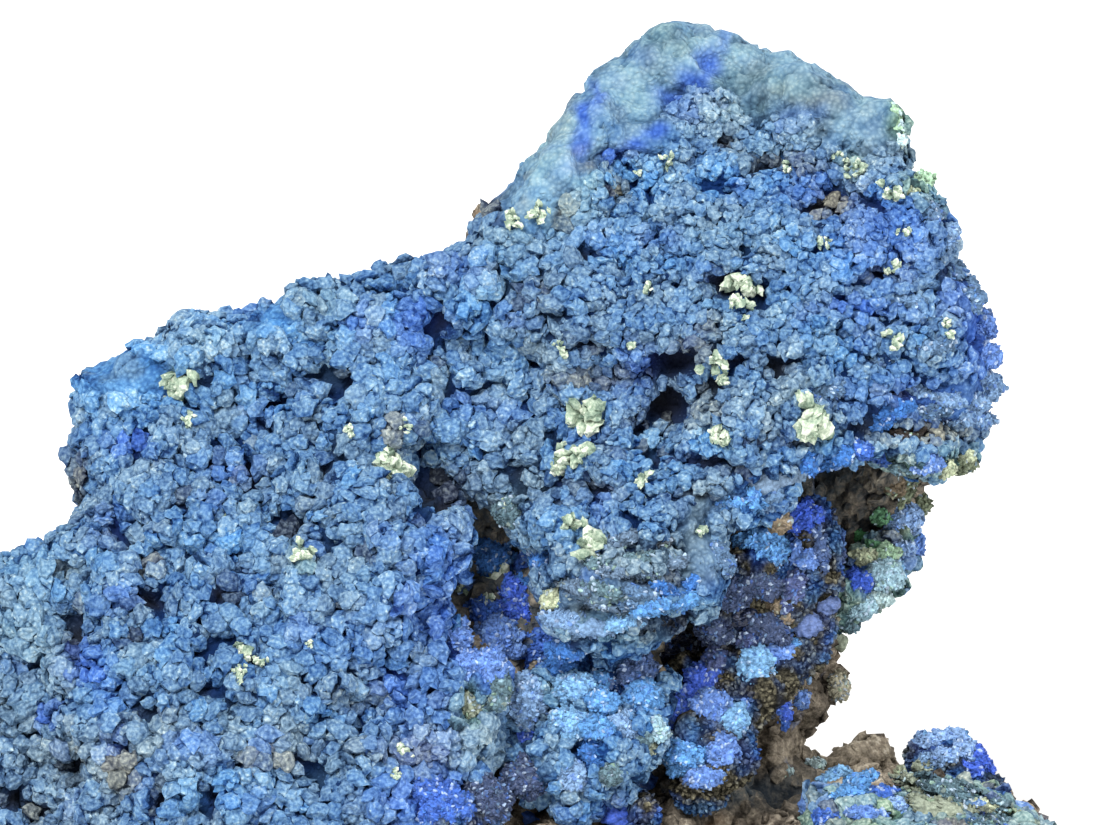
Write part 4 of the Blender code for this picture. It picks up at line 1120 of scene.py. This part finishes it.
def growCrumbs(name, node, settings, regionOf=None, where=None):
    # crumbs all over the open side of a piece, joined by region
    skin, slot = skins[node], pieceSkins[node][2]
    points, normals = coordinatesOf(skin.data), normalsOf(skin.data)
    allowed = (points[:, 2] > growth["overFloor"]) & (rises[node] > growth["leastRise"])
    allowed &= (calms[node] < growth["mostCalm"]) & ~underLumps(points, normals)
    if where:
        allowed &= where(points)
    allowed = allowed.astype(float)
    places, outward, corners, sizes = spreadOver(skin, allowed, settings)
    others = [tree for other, tree in trees.items() if other != node]
    free = inTheOpen(places, outward, growth["start"], growth["room"], others)
    places, outward, corners, sizes = places[free], outward[free], corners[free], sizes[free]
    least, spread = growth["scale"]
    sizes = sizes * (least + spread * rng.random(len(places)))
    masks = colouring(places, outward, slot)
    # how far each crumb lies in a pit, where it gets painted shade
    hollow = masksOf(places, outward)["pit"]
    shade = rng.random(len(places))
    regions = regionOf(places) if regionOf else np.full(len(places), name)
    fine = sizes < settings["fineBelow"]
    for region in sorted(set(regions)):
        for small in (False, True):
            mine = np.flatnonzero((regions == region) & (fine == small))
            if not len(mine):
                continue
            shapes = crumbShapes(settings["forms"], settings["fine" if small else "coarse"])
            obj, owners, rise = joinedCrumbs(
                str(region) + ("Fine" if small else "Coarse"), shapes, places[mine], outward[mine], sizes[mine],
                settings["sink"], settings["tilt"]
            )
            # each crumb's tone: darker in the gaps, in the pits and round its foot, painted shade; lighter at its top,
            # painted light
            low, gain = growth["gapShade"]
            height = ((low + gain * rises[node][corners[mine]]) * (1 - growth["pitShade"] * hollow[mine]))[owners]
            foot, fade = growth["foot"]
            setAttribute(obj.data, "rise", settings["level"] * np.clip((rise - foot) / fade, 0, 1) * height)
            setAttribute(obj.data, "shade", shade[mine][owners])
            for kind, values in masks.items():
                setAttribute(obj.data, kind, values[mine][owners])
            finished(obj, slotMaterial[slot])
            print("crumbs", obj.name, len(mine), "crumbs", len(obj.data.polygons), "faces")


regionEdges = {"headFrom": 590, "neckFrom": 380, "crownAbove": 260, "shoulderAbove": 560}  # in pixels


def onHead(points):
    return pixelsOf(points)[0] > regionEdges["headFrom"]


def offHead(points):
    return ~onHead(points)


def crustRegion(places):
    # the crust's crumbs are joined in parts: crown, brow, neck, shoulder and foot
    x, y = pixelsOf(places)
    head = np.where(y < regionEdges["crownAbove"], "crown", "brow")
    body = np.where(y < regionEdges["shoulderAbove"], "shoulder", "foot")
    return np.where(onHead(places), head, np.where(x > regionEdges["neckFrom"], "neck", body))


rubble = {
    "level": 0.8,
    "sizes": (0.95 * mm, 0.65 * mm, 0.45 * mm),
    "packing": 0.74,
    "tries": 1.1,
    "sink": 0.15,
    "tilt": 0.5,
    "forms": 8,
    "coarse": {"subdivisions": 1, "lobes": 1.3, "lumpiness": 1.0, "scale": (1.0, 0.75, 0.5), "seed": 9.0},
    "fine": {"subdivisions": 1, "lobes": 1.2, "lumpiness": 0.8, "scale": (1.0, 0.7, 0.5), "seed": 10.0},
    "fineBelow": 0.3 * mm,
}
growCrumbs("rock", "limonite_matrix", rubble)
growCrumbs("crust", "azurite_crust", popcorn, crustRegion, offHead)
growCrumbs("crust", "azurite_crust", finePopcorn, crustRegion, onHead)
growCrumbs("ledge", "ledge_crust", popcorn)
growCrumbs("rim", "rim_crust", popcorn)
growCrumbs("hollow", "hollow_nodules", sugar)
growCrumbs("dome", "azurite_dome", sugar)
growCrumbs("ball", "azurite_ball", sugar)
growCrumbs("shelf", "shelf_nodules", sugar)
growCrumbs("knob", "azurite_knob", sugar)

lumpForm = {
    "subdivisions": 4,
    "depthShare": 0.7,
    "sink": 0.3,
    "rough": 0.36,
    "waves": 9,  # in pixels
    "lean": 0.35,
    "seed": 14.0,
    "plateFrom": 2.5,  # how many times wider than high makes a plate, or higher than wide
    "plateRough": 1.6,
    "plateReach": 2.5 * mm,  # how far back or forward it follows the stone
    "plateFollows": 0.8,
    "rise": (0.1, 0.3, 0.35),  # how light it is round its foot, and how much lighter on its waves and in front: painted shade round the foot and between the waves, painted light in front
}
lumpSugar = {
    "sizes": (0.19 * mm, 0.13 * mm),
    "packing": 0.62,
    "tries": 3,
    "forms": 8,
    "sink": 0.25,
    "tilt": 0.7,
    "level": (0.6, 0.75),  # the least, and how far it varies
    "frontLight": (0.66, 0.42),  # how light it is round the lump's foot, painted shade, and how much lighter in front, painted light
    # each crystal is darker at its foot and lighter at its top: painted shade and painted light
    "rise": (0.3, 0.4),
    "form": {"subdivisions": 1, "lobes": 1.2, "lumpiness": 0.5, "scale": (0.5, 1.0, 1.25), "seed": 5.0},
    "glintShare": 0.1,  # the share of crystals painted paler as glints, a painted highlight
    # the pale colour of those painted glints
    "glintColour": "#b9cbe0",
    "strangers": 0.38,  # the share of crystals with another tint
    "bands": 0.7 * mm,  # the width of the bands in which they stand
    "families": 0.9 * mm,  # and of the bands of one tint
    "blues": ("royal", "azureDeep", "steelPale", "greyFilm", "steel", "royal", "periwinkle", "navy"),
    "greens": ("greenPale", "olivePale", "tealBlue", "greyTeal", "taupeGrey", "steel", "brownDark"),
}


def setTint(mesh, colours):
    attribute = mesh.attributes.new("tint", "FLOAT_COLOR", "POINT")
    attribute.data.foreach_set("color", np.asarray(colours, np.float32).ravel())


def firstHit(x, y):
    # where the line from the lens through a pixel first meets a skin: place, normal, face, distance and tree
    hits = [(*tree.ray_cast(lensPlace, rayThrough(x, y)), tree) for tree in trees.values()]
    hits = [hit for hit in hits if hit[0] is not None]
    return min(hits, key=lambda hit: hit[3]) if hits else None


def growLumps(name, table):
    # rounded lumps and plates where the rays through their places meet the stone, with crystals on them
    bm = bmesh.new()
    colours, glassy, heights, fronts, rough = [], [], [], [], []
    for k, (x, y, halfWidth, halfHeight, tint, glass, sugary, *reach) in enumerate(table):
        hit = firstHit(x, y)
        if hit is None:
            print("no stone under lump", name, x, y)
            continue
        thin, thick = sorted((halfWidth, halfHeight))
        plate = thick > lumpForm["plateFrom"] * thin
        depth = reach[0] * mm if reach else thin * lumpForm["depthShare"] * pixel
        centre = hit[0] + viewAway * depth * lumpForm["sink"]
        made = bmesh.ops.create_icosphere(bm, subdivisions=lumpForm["subdivisions"], radius=1)["verts"]
        shift = Vector((k * 3.7, k * 1.9, lumpForm["seed"]))
        lean = lumpForm["lean"] * math.sin(12.9 * k + 1.7)
        across = viewAcross * math.cos(lean) + viewUp * math.sin(lean)
        up = viewUp * math.cos(lean) - viewAcross * math.sin(lean)
        for vert in made:
            away, toward = vert.co.copy(), vert.co.y
            small = Vector((away.x * halfWidth, away.y * thin, away.z * halfHeight)) / lumpForm["waves"]
            waves = noise.noise(small + shift) + 0.5 * noise.noise(small * 2.3 + shift)
            away *= 1 + lumpForm["rough"] * waves * (lumpForm["plateRough"] if plate else 1)
            place = centre + across * away.x * halfWidth * pixel + up * away.z * halfHeight * pixel
            if plate:  # it follows the stone under it
                under = firstHit(x + away.x * halfWidth, y - away.z * halfHeight)
                if under and abs((under[0] - hit[0]).dot(viewAway)) < lumpForm["plateReach"]:
                    place += viewAway * (under[0] - hit[0]).dot(viewAway) * lumpForm["plateFollows"]
            vert.co = place + viewAway * away.y * depth
            vert.co.z = max(vert.co.z, floorGap)
            colours.append(linearColour(tints[tint]))
            glassy.append(glass)
            heights.append(min(max(0.5 + waves, 0), 1))
            fronts.append(max(-toward, 0))
            rough.append(1.0 if sugary else 0.0)
    bmesh.ops.recalc_face_normals(bm, faces=bm.faces)
    mesh = bpy.data.meshes.new(name)
    bm.to_mesh(mesh)
    bm.free()
    obj = linked(bpy.data.objects.new(name, mesh))
    mesh.polygons.foreach_set("use_smooth", np.ones(len(mesh.polygons), bool))
    colours, glassy, heights, fronts, rough = (np.array(part) for part in (colours, glassy, heights, fronts, rough))
    setTint(mesh, colours)
    # each lump's tone: darker round its foot and outline and between its waves, painted shade; lighter in front,
    # painted light
    low, onWaves, frontLight = lumpForm["rise"]
    setAttribute(mesh, "rise", low + onWaves * heights + frontLight * fronts)
    setAttribute(mesh, "glass", glassy)
    finished(obj, freshNodules)
    print("lumps", name, len(table), "lumps", len(mesh.polygons), "faces")
    places, outward, corners, sizes = spreadOver(obj, rough, lumpSugar)
    seen = outward @ np.array(viewAway) < growth["turnedAway"]
    places, outward, corners, sizes = places[seen], outward[seen], corners[seen], sizes[seen]
    if not len(places):
        return
    shapes = crumbShapes(lumpSugar["forms"], lumpSugar["form"])
    grains, owners, rise = joinedCrumbs(
        name + "Crystals", shapes, places, outward, sizes, lumpSugar["sink"], lumpSugar["tilt"]
    )
    own = colours[corners]
    bands = 0.5 + 0.5 * wobble(places, lumpSugar["bands"], 71) + rng.normal(0, 0.15, len(places))
    strangers = bands < lumpSugar["strangers"]
    blue = own[:, 2] > 1.5 * own[:, 1]
    for family, members in (("blues", blue), ("greens", ~blue)):
        company = np.array([linearColour(tints[tint]) for tint in lumpSugar[family]])
        picked = (np.abs(wobble(places, lumpSugar["families"], 72)) * 40).astype(int) % len(company)
        own = np.where((strangers & members)[:, None], 0.5 * own + 0.5 * company[picked], own)
    # each crystal is darker towards the lump's outline and lighter on its front: painted shade and painted light
    (least, spread), (atFoot, frontLight) = lumpSugar["level"], lumpSugar["frontLight"]
    level = (least + spread * rng.random(len(places))) * (atFoot + frontLight * fronts[corners])
    own = own * level[:, None]
    # painted glints: a share of the crystals is paled towards a light colour
    glinting = rng.random(len(places)) < lumpSugar["glintShare"]
    own[glinting] = 0.5 * own[glinting] + 0.5 * np.array(linearColour(lumpSugar["glintColour"]))
    setTint(grains.data, own[owners])
    low, gain = lumpSugar["rise"]
    setAttribute(grains.data, "rise", low + gain * rise)
    setAttribute(grains.data, "glass", glassy[corners][owners])
    finished(grains, freshNodules)
    print("crumbs", grains.name, len(places), "crystals", len(grains.data.polygons), "faces")


for name, (slot, table) in lumps.items():
    growLumps(name, table)

# the malachite tufts

tufts = {
    "places": [  # in the view, with half their width, in pixels
        (745, 284, 13), (739, 305, 9), (381, 450, 13), (386, 462, 14), (391, 476, 13), (182, 385, 14),
        (189, 420, 6), (178, 396, 7), (588, 414, 16), (564, 463, 12), (582, 456, 10), (600, 543, 16),
        (641, 480, 9), (571, 523, 9), (497, 580, 14), (810, 423, 17), (716, 438, 9), (728, 436, 8),
        (716, 364, 9), (727, 381, 7), (536, 214, 8), (515, 218, 8), (857, 170, 7), (890, 190, 8),
        (842, 160, 5), (651, 290, 5), (891, 270, 6), (896, 341, 8), (946, 325, 5), (560, 352, 6),
        (630, 346, 5), (905, 232, 5), (817, 243, 5), (828, 247, 4), (948, 335, 5), (790, 168, 5),
        (665, 160, 5), (640, 172, 4), (350, 432, 6), (225, 520, 5), (246, 652, 8), (242, 675, 6),
        (262, 660, 5), (311, 642, 4), (402, 750, 6), (395, 776, 6), (485, 602, 6), (460, 592, 5),
        (405, 425, 5), (700, 534, 6), (511, 505, 5), (300, 553, 8),
    ],
    "lift": 0.4 * mm,  # they stand on the crumbs
    "out": 0.25,  # and come out by this share of half their width
    "grains": (5, 0.9),  # at the least, and for each pixel of half their width
    "spread": 0.45,
    "size": (0.36, 0.34),  # the least share of half the width, and how far it varies
    "forms": 8,
    "tilt": 0.9,
    "tone": (0.3, 0.6, 0.3),  # at a grain's foot, painted shade, how much lighter at its top, painted light, and how far the grains differ
    "form": {"subdivisions": 2, "lobes": 1.5, "lumpiness": 1.2, "scale": (1.0, 0.55, 1.15), "seed": 8.0},
}


def growTufts():
    # a few grains at each place, on the skin that is seen there
    places, outward, sizes = [], [], []
    (fewest, perPixel), (least, varies) = tufts["grains"], tufts["size"]
    for x, y, half in tufts["places"]:
        hit = firstHit(x, y)
        if hit is None:
            continue
        tree, reach = hit[4], half * pixel
        for _ in range(int(fewest + perPixel * half)):
            place, normal = tree.find_nearest(hit[0] + Vector(rng.normal(0, tufts["spread"], 3)) * reach)[:2]
            places.append(place + (normal - viewAway).normalized() * (tufts["lift"] + tufts["out"] * reach))
            outward.append(normal)
            sizes.append(reach * (least + varies * rng.random()))
    places, outward, sizes = (np.array(part) for part in (places, outward, sizes))
    shapes = crumbShapes(tufts["forms"], tufts["form"])
    obj, owners, rise = joinedCrumbs("malachiteTufts", shapes, places, outward, sizes, 0.0, tufts["tilt"])
    # each grain darker at its foot and lighter at its top: painted shade and painted light
    foot, gain, differ = tufts["tone"]
    setAttribute(obj.data, "rise", np.clip(foot + gain * rise + differ * (rng.random(len(places))[owners] - 0.5), 0, 1))
    finished(obj, malachite)
    print("tufts", len(places), "grains", len(obj.data.polygons), "faces")


growTufts()
